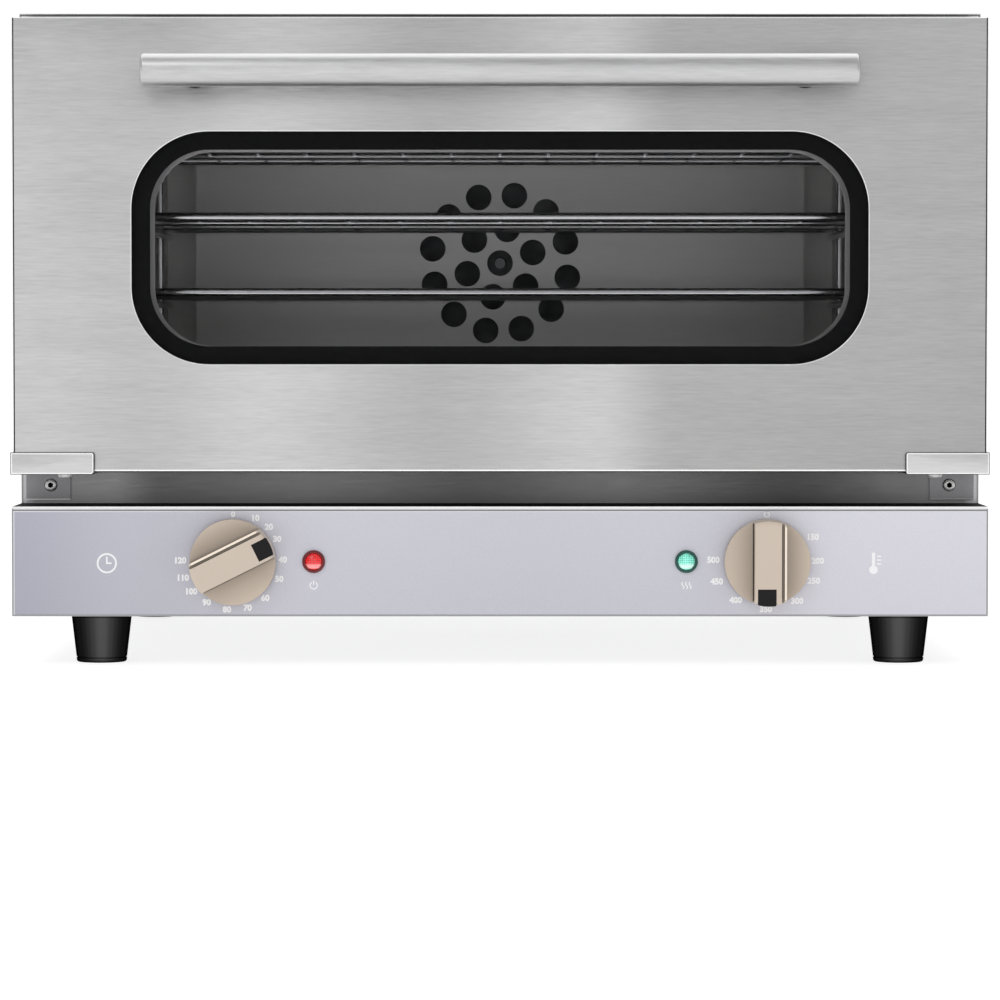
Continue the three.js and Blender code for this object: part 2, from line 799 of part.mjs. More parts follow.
function insulationWrap() {
  const clear = linerSheet + seatGap;
  const spread = clear + insulationThickness;
  const front = linerFront + linerSheet + seatGap;
  const outer = block(
    [-halfCavity - spread, halfCavity + spread],
    [front, linerBack + seatGap + insulationThickness],
    [cavityFloor - spread, cavityCeiling + spread],
  );
  const hollow = block(
    [-halfCavity - clear, halfCavity + clear],
    [front - cutOverrun, linerBack + seatGap],
    [cavityFloor - clear, cavityCeiling + clear],
  );
  const back = [cavityBack, linerBack + insulationThickness + cutOverrun];
  const motorHole = bar("y", back, { z: fanHeight }, insulationHoleRadius, roundSides);
  const tails = block(
    [-heaterTerminalSpread - heaterBend, heaterTerminalSpread + heaterBend],
    back,
    [heaterTerminal(1).z - heaterBend, fanHeight],
  );
  return part("insulation_wrap", cut(outer, hollow, motorHole, tails), mineralWool);
}

function doorGasket() {
  const inner = [-halfCavity - gasketInset, halfCavity + gasketInset];
  const innerZ = [cavityFloor - gasketInset, cavityCeiling + gasketInset];
  const grow = ([a, b], by) => [a - by, b + by];
  const outline = roundedRectangle(
    grow(inner, gasketWidth),
    grow(innerZ, gasketWidth),
    panelCornerRadius + gasketWidth,
  );
  outline.holes.push(roundedRectangle(inner, innerZ, panelCornerRadius, THREE.Path));
  const ring = plate("y", outline, [seatGap - doorBack, -seatGap], cornerSteps - 2);
  return part("door_gasket", ring, blackRubber);
}

// Racks
function rackGuide({ name, s }) {
  const low = firstLevel - guidePostReach;
  const high = levels[levelCount - 1] + guidePostReach;
  const posts = [guideFront + guidePostInset, guideRear - guidePostInset].map((y) =>
    bar("z", [low, high], { x: s * guidePostOffset, y }, guideRodRadius, wireSides),
  );
  const runners = levels.map((z) =>
    bar("y", [guideFront, guideRear], { x: s * runnerOffset, z }, guideRodRadius, wireSides),
  );
  return part(`rack_guide_${name}`, join(...posts, ...runners), wireChrome);
}

function wireRack(name, level) {
  const bottom = level + guideRodRadius + seatGap;
  const zs = [bottom, bottom + rackBar];
  const half = halfRack;
  const frame = cut(
    block([-half, half], [rackFront, rackRear], zs),
    block(
      [rackBar - half, half - rackBar],
      [rackFront + rackBar, rackRear - rackBar],
      [bottom - cutOverrun, bottom + rackBar + cutOverrun],
    ),
  );
  const middle = bottom + rackBar / 2;
  const pitch = (2 * half - rackBar) / (rackWireCount + 1);
  const wires = Array.from({ length: rackWireCount }, (_, i) =>
    bar(
      "y",
      [rackFront + rackBar / 2, rackRear - rackBar / 2],
      { x: -half + rackBar / 2 + (i + 1) * pitch, z: middle + rackWireRadius / 2 },
      rackWireRadius,
      wireSides,
    ),
  );
  const stays = rackStayShares.map((share) =>
    bar(
      "x",
      [rackBar / 2 - half, half - rackBar / 2],
      { y: rackFront + share * (rackRear - rackFront), z: middle - rackStayRadius / 2 },
      rackStayRadius,
      wireSides,
    ),
  );
  return part(name, join(frame, ...stays, ...wires), wireChrome);
}

// Fan side
function heaterTerminal(s) {
  const x = s * heaterTerminalSpread;
  return { x, z: fanHeight - Math.sqrt(heaterRingRadius ** 2 - heaterTerminalSpread ** 2) };
}

class HeaterPath extends THREE.Curve {
  getPoint(t, target = new THREE.Vector3()) {
    const open = Math.asin((heaterTerminalSpread + heaterBend) / heaterRingRadius);
    const tailBack = linerBack + heaterTail;
    const legLength = tailBack - heaterRingDepth - heaterBend;
    const bendLength = (Math.PI / 2) * heaterBend;
    const ringLength = (2 * Math.PI - 2 * open) * heaterRingRadius;
    const total = 2 * (legLength + bendLength) + ringLength;
    const half = t <= 0.5;
    const along = (half ? t : 1 - t) * total;
    const s = half ? -1 : 1;
    if (along < legLength) {
      const { x, z } = heaterTerminal(s);
      return target.set(x, tailBack - along, z);
    }
    if (along < legLength + bendLength) {
      const turn = (along - legLength) / heaterBend;
      const x = heaterTerminalSpread + heaterBend * (1 - Math.cos(turn));
      const y = heaterRingDepth + heaterBend * (1 - Math.sin(turn));
      return target.set(s * x, y, fanHeight - Math.sqrt(heaterRingRadius ** 2 - x ** 2));
    }
    const angle = open + (along - legLength - bendLength) / heaterRingRadius;
    return target.set(
      s * heaterRingRadius * Math.sin(angle),
      heaterRingDepth,
      fanHeight - heaterRingRadius * Math.cos(angle),
    );
  }
}

function regularSection(radius, sideCount) {
  const section = new THREE.Shape();
  for (let i = 0; i < sideCount; i++) {
    const angle = (2 * Math.PI * i) / sideCount;
    section[i ? "lineTo" : "moveTo"](radius * Math.cos(angle), radius * Math.sin(angle));
  }
  section.closePath();
  return section;
}

function heatingElement() {
  const geometry = new THREE.ExtrudeGeometry(regularSection(heaterTubeRadius, wireSides), {
    steps: heaterSteps,
    bevelEnabled: false,
    extrudePath: new HeaterPath(),
  });
  return part("heating_element", solid(geometry), heaterSheath);
}

function fanBaffle() {
  const half = halfCavity - baffleSideGap;
  const zs = [cavityFloor + baffleMargin, cavityCeiling - baffleMargin];
  const rear = cavityBack - seatGap;
  const channel = cut(
    block([-half, half], [baffleFront, rear], zs),
    block(
      [baffleSheet - half, half - baffleSheet],
      [baffleFront + baffleSheet, rear + cutOverrun],
      [zs[0] - cutOverrun, zs[1] + cutOverrun],
    ),
  );
  const holes = [];
  for (let ring = 0; ring <= grilleRings; ring++) {
    const count = ring ? 6 * ring : 1;
    for (let i = 0; i < count; i++) {
      const angle = (2 * Math.PI * (i + ring * grilleTwistShare)) / count;
      const x = ring * grilleHolePitch * Math.cos(angle);
      const z = fanHeight + ring * grilleHolePitch * Math.sin(angle);
      const through = [baffleFront - cutOverrun, baffleFront + cutOverrun];
      holes.push(bar("y", through, { x, z }, grilleHoleRadius, tubeSides));
    }
  }
  const slotStep = (zs[1] - zs[0] - 2 * outletSlotInset) / outletSlotCount;
  const slots = Array.from({ length: outletSlotCount }, (_, i) => {
    const z = zs[0] + outletSlotInset + (i + 0.5) * slotStep;
    return block(
      [-half - cutOverrun, half + cutOverrun],
      [baffleFront + outletSlotInset, baffleFront + outletSlotInset + outletSlotWidth],
      [z - (slotStep - outletSlotBridge) / 2, z + (slotStep - outletSlotBridge) / 2],
    );
  });
  return part("fan_baffle", cut(channel, ...holes, ...slots), liningSteel);
}

function fanImpeller() {
  const centre = { z: fanHeight };
  const rear = impellerRear;
  const disc = bar("y", [rear - impellerPlate, rear], centre, impellerRadius, roundSides);
  const hub = bar("y", [impellerFront, rear + impellerPlate], centre, impellerHubRadius);
  const blade = block(
    [-bladeThickness / 2, bladeThickness / 2],
    [impellerFront, rear - impellerPlate / 2],
    [impellerRadius - bladeLength, impellerRadius - bladeThickness],
  );
  const pivot = impellerRadius - bladeLength / 2;
  const leaned = blade
    .translate([0, 0, -pivot])
    .rotate([0, bladeLeanDegrees, 0])
    .translate([0, 0, pivot]);
  const blades = Array.from({ length: bladeCount }, (_, i) =>
    leaned.rotate([0, (360 * i) / bladeCount, 0]).translate([0, 0, fanHeight]),
  );
  const bore = bar(
    "y",
    [impellerFront - cutOverrun, rear + cutOverrun],
    centre,
    motorShaftRadius + seatGap,
  );
  return part("fan_impeller", cut(join(disc, hub, ...blades), bore), castAlloy);
}

function motorShaft() {
  const span = [impellerFront - shaftNose, motorFront + motorBoreDepth - seatGap];
  return part("motor_shaft", bar("y", span, { z: fanHeight }, motorShaftRadius), darkSteel);
}

function fanMotor() {
  const centre = { z: fanHeight };
  const shell = bar("y", [motorFront, backPanelFront - motorRearGap], centre, motorRadius, roundSides);
  const legs = [-1, 1].flatMap((a) =>
    [-1, 1].map((b) =>
      bar(
        "y",
        [linerBack + seatGap, motorFront + casingSheet],
        { x: a * motorLegSpread, z: fanHeight + b * motorLegSpread },
        motorLegRadius,
        tubeSides,
      ),
    ),
  );
  const bore = bar(
    "y",
    [motorFront - cutOverrun, motorFront + motorBoreDepth],
    centre,
    motorShaftRadius + seatGap,
  );
  return part("fan_motor", cut(join(shell, ...legs), bore), castAlloy);
}

function thermostatBulb() {
  const x = halfCavity - seatGap - 2 * bulbRadius;
  const z = cavityCeiling - bulbDrop;
  const rear = baffleFront - bulbRearGap;
  const rod = bar("y", [rear - bulbLength, rear], { x, z }, bulbRadius, tubeSides);
  const clips = bulbClipShares.map((share) => {
    const y = rear - share * bulbLength;
    return block(
      [x, halfCavity - seatGap],
      [y - bulbClipWidth / 2, y + bulbClipWidth / 2],
      [z - bulbRadius / 2, z + bulbRadius / 2],
    );
  });
  return part("thermostat_bulb", join(rod, ...clips), wireChrome);
}

function terminalBlock() {
  const bottom = basePanBottom + casingSheet + seatGap;
  const rear = cabinetDepth - terminalBlockBack;
  const x = glandOffset - terminalBlockWidth;
  const top = bottom + terminalBlockHeight;
  const body = block(
    [x - terminalBlockWidth / 2, x + terminalBlockWidth / 2],
    [rear - terminalBlockDepth, rear],
    [bottom, top],
  );
  const wells = [-1, 0, 1].map((n) => {
    const pole = x + n * terminalPolePitch;
    return block(
      [pole - terminalPoleWidth / 2, pole + terminalPoleWidth / 2],
      [rear - terminalBlockDepth / 2, rear + cutOverrun],
      [top - terminalSlotDepth, top + cutOverrun],
    );
  });
  return part("terminal_block", cut(body, ...wells), whiteCeramic);
}

function cordGland() {
  const centre = { x: glandOffset, z: glandHeight };
  const outside = cabinetDepth + seatGap;
  const tip = glandRadius * glandTaperShare;
  const body = join(
    bar("y", [outside, outside + glandNutThickness], centre, glandNutRadius, wireSides),
    bar("y", [outside, outside + glandLength], centre, glandRadius, roundSides, tip),
    bar(
      "y",
      [backPanelFront - glandNutThickness, outside + casingSheet],
      centre,
      glandHoleRadius - seatGap,
      roundSides,
    ),
  );
  const bore = bar(
    "y",
    [cabinetDepth - glandLength, outside + glandLength + cutOverrun],
    centre,
    glandBoreRadius,
  );
  return part("cord_gland", cut(body, bore), blackPlastic);
}

// Door
function hingeSlots() {
  return sides.map(({ s }) =>
    block(
      [s * (halfDoor - hingeSlotInset), s * hingeSlotInner],
      [frontFace + hingeSlotSetback, 0],
      [doorBottom - cutOverrun, doorBottom + hingeSlotRise],
    ),
  );
}

function windowShape(inset, Kind) {
  const half = windowHalfWidth - inset;
  const zs = [windowBottom + inset, windowTop - inset];
  return roundedRectangle([-half, half], zs, windowRadius - inset, Kind);
}

function doorSkin() {
  const outline = rectangle([-halfDoor, halfDoor], [doorBottom, doorTop]);
  outline.holes.push(windowShape(0, THREE.Path));
  const face = plate("y", outline, [frontFace, frontFace + doorSheet]);
  const rim = cut(
    block([-halfDoor, halfDoor], [frontFace, skinBack], [doorBottom, doorTop]),
    block(
      [doorSheet - halfDoor, halfDoor - doorSheet],
      [frontFace - cutOverrun, skinBack + cutOverrun],
      [doorBottom + doorSheet, doorTop - doorSheet],
    ),
  );
  const pinHoles = sides.map(({ s }) =>
    bar(
      "x",
      [s * (halfDoor - cutOverrun), s * (halfDoor + cutOverrun)],
      hingeAxis,
      hingePinRadius + 2 * seatGap,
    ),
  );
  const screwHoles = sides.map(({ s }) =>
    bar(
      "z",
      [doorBottom - cutOverrun, doorBottom + cutOverrun],
      { x: s * bracketScrewPlace.x, y: bracketScrewPlace.y },
      screwShankRadius + seatGap,
    ),
  );
  const sheetBody = join(face, rim);
  return part("door_skin", cut(sheetBody, ...hingeSlots(), ...pinHoles, ...screwHoles), brushedSteel);
}

function doorInnerPanel() {
  const half = innerPanelHalfWidth;
  const zs = [doorBottom + doorSheet + innerPanelLift, doorTop - doorSheet - seatGap];
  const rear = -doorBack;
  const outline = rectangle([-half, half], zs);
  outline.holes.push(windowShape(innerWindowInset, THREE.Path));
  const face = plate("y", outline, [rear - doorSheet, rear]);
  const rim = cut(
    block([-half, half], [rear - innerFold, rear], zs),
    block(
      [doorSheet - half, half - doorSheet],
      [rear - innerFold - cutOverrun, rear + cutOverrun],
      [zs[0] + doorSheet, zs[1] - doorSheet],
    ),
  );
  return part("door_inner_panel", cut(join(face, rim), ...hingeSlots()), liningSteel);
}

function pane(name, lap, front) {
  const half = windowHalfWidth + lap;
  const outline = rectangle([-half, half], [windowBottom - lap, windowTop + lap]);
  return part(name, plate("y", outline, [front, front + glassThickness]), clearGlass);
}

function glassSpacer() {
  const outline = roundedRectangle(
    [-windowHalfWidth - spacerWall, windowHalfWidth + spacerWall],
    [windowBottom - spacerWall, windowTop + spacerWall],
    windowRadius + spacerWall,
  );
  outline.holes.push(windowShape(0, THREE.Path));
  const span = [outerGlassFront + glassThickness + seatGap, innerGlassFront - seatGap];
  return part("glass_spacer", plate("y", outline, span), blackPlastic);
}

function handle() {
  const centre = { y: handleAxisY, z: handleHeight };
  const ends = [-halfHandle, halfHandle];
  const hollow = bar(
    "x",
    [ends[0] + handleWall, ends[1] - handleWall],
    centre,
    handleRadius - handleWall,
    roundSides,
  );
  const boltHoles = sides.map(({ s }) =>
    bar("y", [handleAxisY, frontFace], { x: s * handlePostOffset, z: handleHeight }, handleBoltRadius),
  );
  const tube = cut(bar("x", ends, centre, handleRadius, roundSides), hollow, ...boltHoles);
  const posts = sides.map(({ name, s }) => {
    const x = s * handlePostOffset;
    const span = [handleAxisY, frontFace - seatGap];
    const post = bar("y", span, { x, z: handleHeight }, handlePostRadius, roundSides);
    const saddle = bar(
      "x",
      [x - 2 * handlePostRadius, x + 2 * handlePostRadius],
      centre,
      handleRadius + seatGap,
      roundSides,
    );
    return part(`handle_post_${name}`, cut(post, saddle), blackPlastic);
  });
  return [part("handle_bar", tube, brushedSteel), ...posts];
}

// Hinges
function hingeArm({ name, s }) {
  const outer = halfDoor - hingeArmInset;
  const x = [s * (outer - hingeArmThickness), s * outer];
  const zs = [hingeAxis.z - hingeArmHalfHeight, hingeAxis.z + hingeArmHalfHeight];
  const flangeBack = -seatGap;
  const arm = join(
    block(x, [hingeAxis.y, flangeBack], zs),
    bar("x", x, hingeAxis, hingeArmHalfHeight, roundSides),
    block(
      [s * (halfDoor - hingeFlangeInset), s * (halfDoor - hingeFlangeReach)],
      [flangeBack - hingeFlangeThickness, flangeBack],
      [panelTop + hingeFlangeLift, doorBottom + hingeFlangeRise],
    ),
  );
  const eye = bar(
    "x",
    [s * (outer - cutOverrun), s * (outer + cutOverrun)],
    hingeAxis,
    hingePinRadius + bearingGap,
  );
  const screwHole = bar(
    "y",
    [-cutOverrun, cutOverrun],
    { x: s * railScrewOffset, z: railScrewHeight },
    screwShankRadius + seatGap,
  );
  return part(`hinge_arm_${name}`, cut(arm, eye, screwHole), darkSteel);
}

function hingePin({ name, s }) {
  const outer = halfDoor + bracketSheet;
  return part(
    `hinge_pin_${name}`,
    bar("x", [s * (bracketEar - bracketSheet), s * outer], hingeAxis, hingePinRadius),
    darkSteel,
  );
}

function hingeBracket({ name, s }) {
  const outer = halfDoor + seatGap + bracketSheet;
  const front = frontFace - seatGap - bracketSheet;
  const bottom = doorBottom - seatGap - bracketSheet;
  const inner = outer - bracketLength;
  const zs = [bottom, doorBottom + bracketRise];
  const tabZs = [bottom, bottom + bracketSheet];
  const shape = join(
    block([s * inner, s * outer], [front, front + bracketSheet], zs),
    block([s * inner, s * hingeSlotInner], [front, front + bracketTabDepth], tabZs),
    block([s * (outer - bracketSheet), s * outer], [front, front + bracketCheekDepth], zs),
    block(
      [s * bracketEar, s * (bracketEar + bracketSheet)],
      [hingeAxis.y - bracketEarHalfDepth, hingeAxis.y + bracketEarHalfDepth],
      [bottom, hingeAxis.z + bracketEarHalfDepth],
    ),
    block(
      [s * hingeSlotInner, s * (bracketEar + bracketSheet)],
      [hingeAxis.y - bracketEarHalfDepth, hingeAxis.y + bracketEarHalfDepth],
      tabZs,
    ),
  );
  const eye = bar(
    "x",
    [s * (bracketEar - cutOverrun), s * (outer + cutOverrun)],
    hingeAxis,
    hingePinRadius + bearingGap,
  );
  const screwHole = bar(
    "z",
    [tabZs[0] - cutOverrun, tabZs[1] + cutOverrun],
    { x: s * bracketScrewPlace.x, y: bracketScrewPlace.y },
    screwShankRadius + seatGap,
  );
  return part(`hinge_bracket_${name}`, cut(shape, eye, screwHole), brushedSteel);
}

// The torsion spring: one leg back to the rail, five turns round the pin, one leg forward to the door
class SpringPath extends THREE.Curve {
  constructor(s) {
    super();
    this.s = s;
    this.start = halfDoor - springInset;
    this.backLeg = -hingeAxis.y - hingeFlangeThickness - 2 * seatGap;
    this.frontLeg = hingeSetback - doorSheet - springTipGap;
    this.coil = 2 * Math.PI * springCoilRadius * springTurns;
    this.total = this.backLeg + this.coil + this.frontLeg;
  }

  getPoint(t, target = new THREE.Vector3()) {
    const along = t * this.total;
    const top = hingeAxis.z + springCoilRadius;
    if (along < this.backLeg) {
      return target.set(this.s * this.start, hingeAxis.y + this.backLeg - along, top);
    }
    const turn = Math.min((along - this.backLeg) / springCoilRadius, 2 * Math.PI * springTurns);
    const x = this.s * (this.start - (springPitch * turn) / (2 * Math.PI));
    if (along > this.backLeg + this.coil) {
      return target.set(x, hingeAxis.y - (along - this.backLeg - this.coil), top);
    }
    const angle = Math.PI / 2 + turn;
    return target.set(
      x,
      hingeAxis.y + springCoilRadius * Math.cos(angle),
      hingeAxis.z + springCoilRadius * Math.sin(angle),
    );
  }
}

function leastGapToItself(path, radius) {
  const points = path.getPoints(springSamples);
  const spacing = path.getLength() / springSamples;
  const skip = Math.ceil((Math.PI * springCoilRadius) / spacing);
  let least = Infinity;
  for (let i = 0; i < points.length; i++) {
    for (let j = i + skip; j < points.length; j++) {
      least = Math.min(least, points[i].distanceTo(points[j]));
    }
  }
  return least - 2 * radius;
}

function hingeSpring({ name, s }) {
  const path = new SpringPath(s);
  const geometry = new THREE.ExtrudeGeometry(regularSection(springWireRadius, springWireSides), {
    steps: springSteps,
    bevelEnabled: false,
    extrudePath: path,
  });
  const gap = leastGapToItself(path, springWireRadius);
  console.log(`hinge_spring_${name} least gap to itself ${gap.toFixed(2)} mm`);
  return part(`hinge_spring_${name}`, solid(geometry), wireChrome);
}

// A pan-head screw with a hexagonal socket, drawn with its head's underside at z = 0 and its shank up
function screw(headRadius, headHeight, length) {
  const profile = [
    [0, -headHeight],
    ...screwHeadShares.map(([across, up]) => [headRadius * across, -headHeight * up]),
    [screwShankRadius, 0],
    [screwShankRadius, length],
    [0, length],
  ].map(([radius, z]) => new THREE.Vector2(radius, z));
  const body = solid(new THREE.LatheGeometry(profile, smallSides).rotateX(Math.PI / 2));
  const socketSpan = [-headHeight - cutOverrun, socketDepth - headHeight];
  const socket = bar("z", socketSpan, {}, socketRadius, wireSides);
  return cut(body, socket);
}

function railScrew({ name, s }) {
  const body = screw(railScrewHeadRadius, railScrewHeadHeight, railScrewLength)
    .rotate([-90, 0, 0])
    .translate([s * railScrewOffset, -2 * seatGap - hingeFlangeThickness, railScrewHeight]);
  return part(`hinge_screw_${name}`, body, wireChrome);
}

function bracketScrew({ name, s }) {
  const under = doorBottom - 2 * seatGap - bracketSheet;
  const body = screw(bracketScrewHeadRadius, bracketScrewHeadHeight, bracketScrewLength).translate([
    s * bracketScrewPlace.x,
    bracketScrewPlace.y,
    under,
  ]);
  return part(`bracket_screw_${name}`, body, wireChrome);
}

const oven = new THREE.Group();
oven.add(
  ...sides.map(sidePanel),
  topCover(),
  backPanel(),
  frontFrame(),
  controlPanel(),
  fasciaOverlay(),
  basePan(),
  knobAssembly("timer", -1, timerPointerDegrees),
  knobAssembly("temp", 1, tempPointerDegrees),
  controlBody("timer_body", -1, timerBodyWidth, timerBodyDepth),
  controlBody("thermostat_body", 1, thermostatWidth, thermostatDepth),
  lens("power_lens", -1, redLens),
  lens("heating_lens", 1, greenLens),
  lampBody("power_lamp_body", -1),
  lampBody("heating_lamp_body", 1),
  ...feet(),
  cavityLiner(),
  insulationWrap(),
  doorGasket(),
  ...sides.map(rackGuide),
  wireRack("wire_rack_lower", levels[1]),
  wireRack("wire_rack_middle", levels[2]),
  wireRack("wire_rack_upper", levels[3]),
  heatingElement(),
  fanBaffle(),
  fanImpeller(),
  motorShaft(),
  fanMotor(),
  thermostatBulb(),
  terminalBlock(),
  cordGland(),
  doorSkin(),
  doorInnerPanel(),
  pane("door_outer_glass", glassLap, outerGlassFront),
  pane("door_inner_glass", spacerWall, innerGlassFront),
  glassSpacer(),
  ...handle(),
  ...sides.map(hingeArm),
  ...sides.map(hingePin),
  ...sides.map(hingeBracket),
  ...sides.map(hingeSpring),
  ...sides.map(railScrew),
  ...sides.map(bracketScrew),
);

// The part's origin is the middle of its footprint box, on the bench
const foremost = handleAxisY - handleRadius;
const rearmost = cabinetDepth + seatGap + glandLength;
oven.position.y = -(foremost + rearmost) / 2;

export default oven;
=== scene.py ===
"""The looks of a half-size countertop convection oven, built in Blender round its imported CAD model.

The cabinet stands on four rubber feet. A drop-down glass door hangs over a recessed rail on two
sprung hinges, and the control strip below carries a timer knob, a temperature knob and two pilot
lamps. Inside are a lined cavity, wire racks, a fan, a ring heater and their motor.

Everything is in metres, in the CAD model's frame: X to the viewer's right, Y to the back, Z up.
"""

from __future__ import annotations

import json
import logging
import math
from collections.abc import Callable, Mapping, Sequence
from dataclasses import dataclass, field
from enum import Enum
from typing import Any

import bmesh
import bpy
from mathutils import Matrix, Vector

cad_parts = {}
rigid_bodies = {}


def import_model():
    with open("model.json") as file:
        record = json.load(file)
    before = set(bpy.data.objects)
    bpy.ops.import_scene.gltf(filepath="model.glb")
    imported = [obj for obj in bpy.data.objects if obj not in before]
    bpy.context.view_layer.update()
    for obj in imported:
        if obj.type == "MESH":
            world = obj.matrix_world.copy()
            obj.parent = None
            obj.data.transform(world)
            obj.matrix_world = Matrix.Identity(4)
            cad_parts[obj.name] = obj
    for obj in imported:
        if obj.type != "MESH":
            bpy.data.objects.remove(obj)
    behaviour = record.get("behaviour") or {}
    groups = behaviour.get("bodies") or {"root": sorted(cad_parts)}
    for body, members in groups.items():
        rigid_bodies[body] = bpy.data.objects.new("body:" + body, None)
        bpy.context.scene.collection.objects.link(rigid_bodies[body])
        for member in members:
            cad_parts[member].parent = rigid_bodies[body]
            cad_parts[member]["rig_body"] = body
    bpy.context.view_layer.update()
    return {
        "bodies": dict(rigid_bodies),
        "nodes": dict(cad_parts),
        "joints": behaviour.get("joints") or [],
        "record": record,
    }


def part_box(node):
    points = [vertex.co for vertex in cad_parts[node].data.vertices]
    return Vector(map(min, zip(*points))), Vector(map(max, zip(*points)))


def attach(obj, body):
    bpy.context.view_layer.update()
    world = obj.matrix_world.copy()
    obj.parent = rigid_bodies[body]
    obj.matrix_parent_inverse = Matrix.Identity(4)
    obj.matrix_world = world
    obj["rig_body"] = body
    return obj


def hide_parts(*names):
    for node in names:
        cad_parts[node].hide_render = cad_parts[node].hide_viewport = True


log = logging.getLogger("oven")

MM = 0.001

Colour = tuple[float, float, float]
Point = Sequence[float]
Spot = tuple[float, float]
Stops = Sequence[tuple[float, float]]
Profile = Sequence[tuple[float, float]]
Marks = tuple[tuple[str, float, float], ...]
Piece = bpy.types.Object
FaceTest = Callable[[bmesh.types.BMFace], bool]


class Facing(Enum):
    """The way a turned piece points, as the rotation that takes +Z there."""

    UP = (0.0, 0.0, 0.0)
    DOWN = (math.pi, 0.0, 0.0)
    FRONT = (math.pi / 2, 0.0, 0.0)
    BACK = (-math.pi / 2, 0.0, 0.0)
    RIGHT = (0.0, math.pi / 2, 0.0)
    LEFT = (0.0, -math.pi / 2, 0.0)


class Side(Enum):
    """The two sides of the oven, with the sign of X there."""

    LEFT = -1
    RIGHT = 1

    @property
    def word(self) -> str:
        """The side's name as the CAD nodes spell it."""
        return self.name.lower()


class Part(Enum):
    """The parts of a mesh that are picked, each with the name of its collection."""

    FACE = "faces"
    EDGE = "edges"


class Body(Enum):
    """The CAD bodies that pieces ride on."""

    CABINET = "cabinet"
    FAN = "fan"
    DOOR = "door"
    TIMER = "timer_dial"
    TEMPERATURE = "temp_dial"
    RACK_LOWER = "rack_lower"
    RACK_MIDDLE = "rack_middle"
    RACK_UPPER = "rack_upper"


# Shader nodes


class Socket:
    """An output socket that takes part in Python expressions; each operator adds a Math node."""

    def __init__(self, bench: NodeBench, link: bpy.types.NodeSocket) -> None:
        """Wraps an output socket.

        Args:
            bench: the node tree that the socket belongs to.
            link: the output socket.
        """
        self.bench = bench
        self.link = link

    def __add__(self, other: Socket | float) -> Socket:
        """The sum with a socket or number."""
        return self.bench.math("ADD", self, other)

    __radd__ = __add__

    def __sub__(self, other: Socket | float) -> Socket:
        """This socket less a socket or number."""
        return self.bench.math("SUBTRACT", self, other)

    def __rsub__(self, other: float) -> Socket:
        """A number less this socket."""
        return self.bench.math("SUBTRACT", other, self)

    def __mul__(self, other: Socket | float) -> Socket:
        """The product with a socket or number."""
        return self.bench.math("MULTIPLY", self, other)

    __rmul__ = __mul__


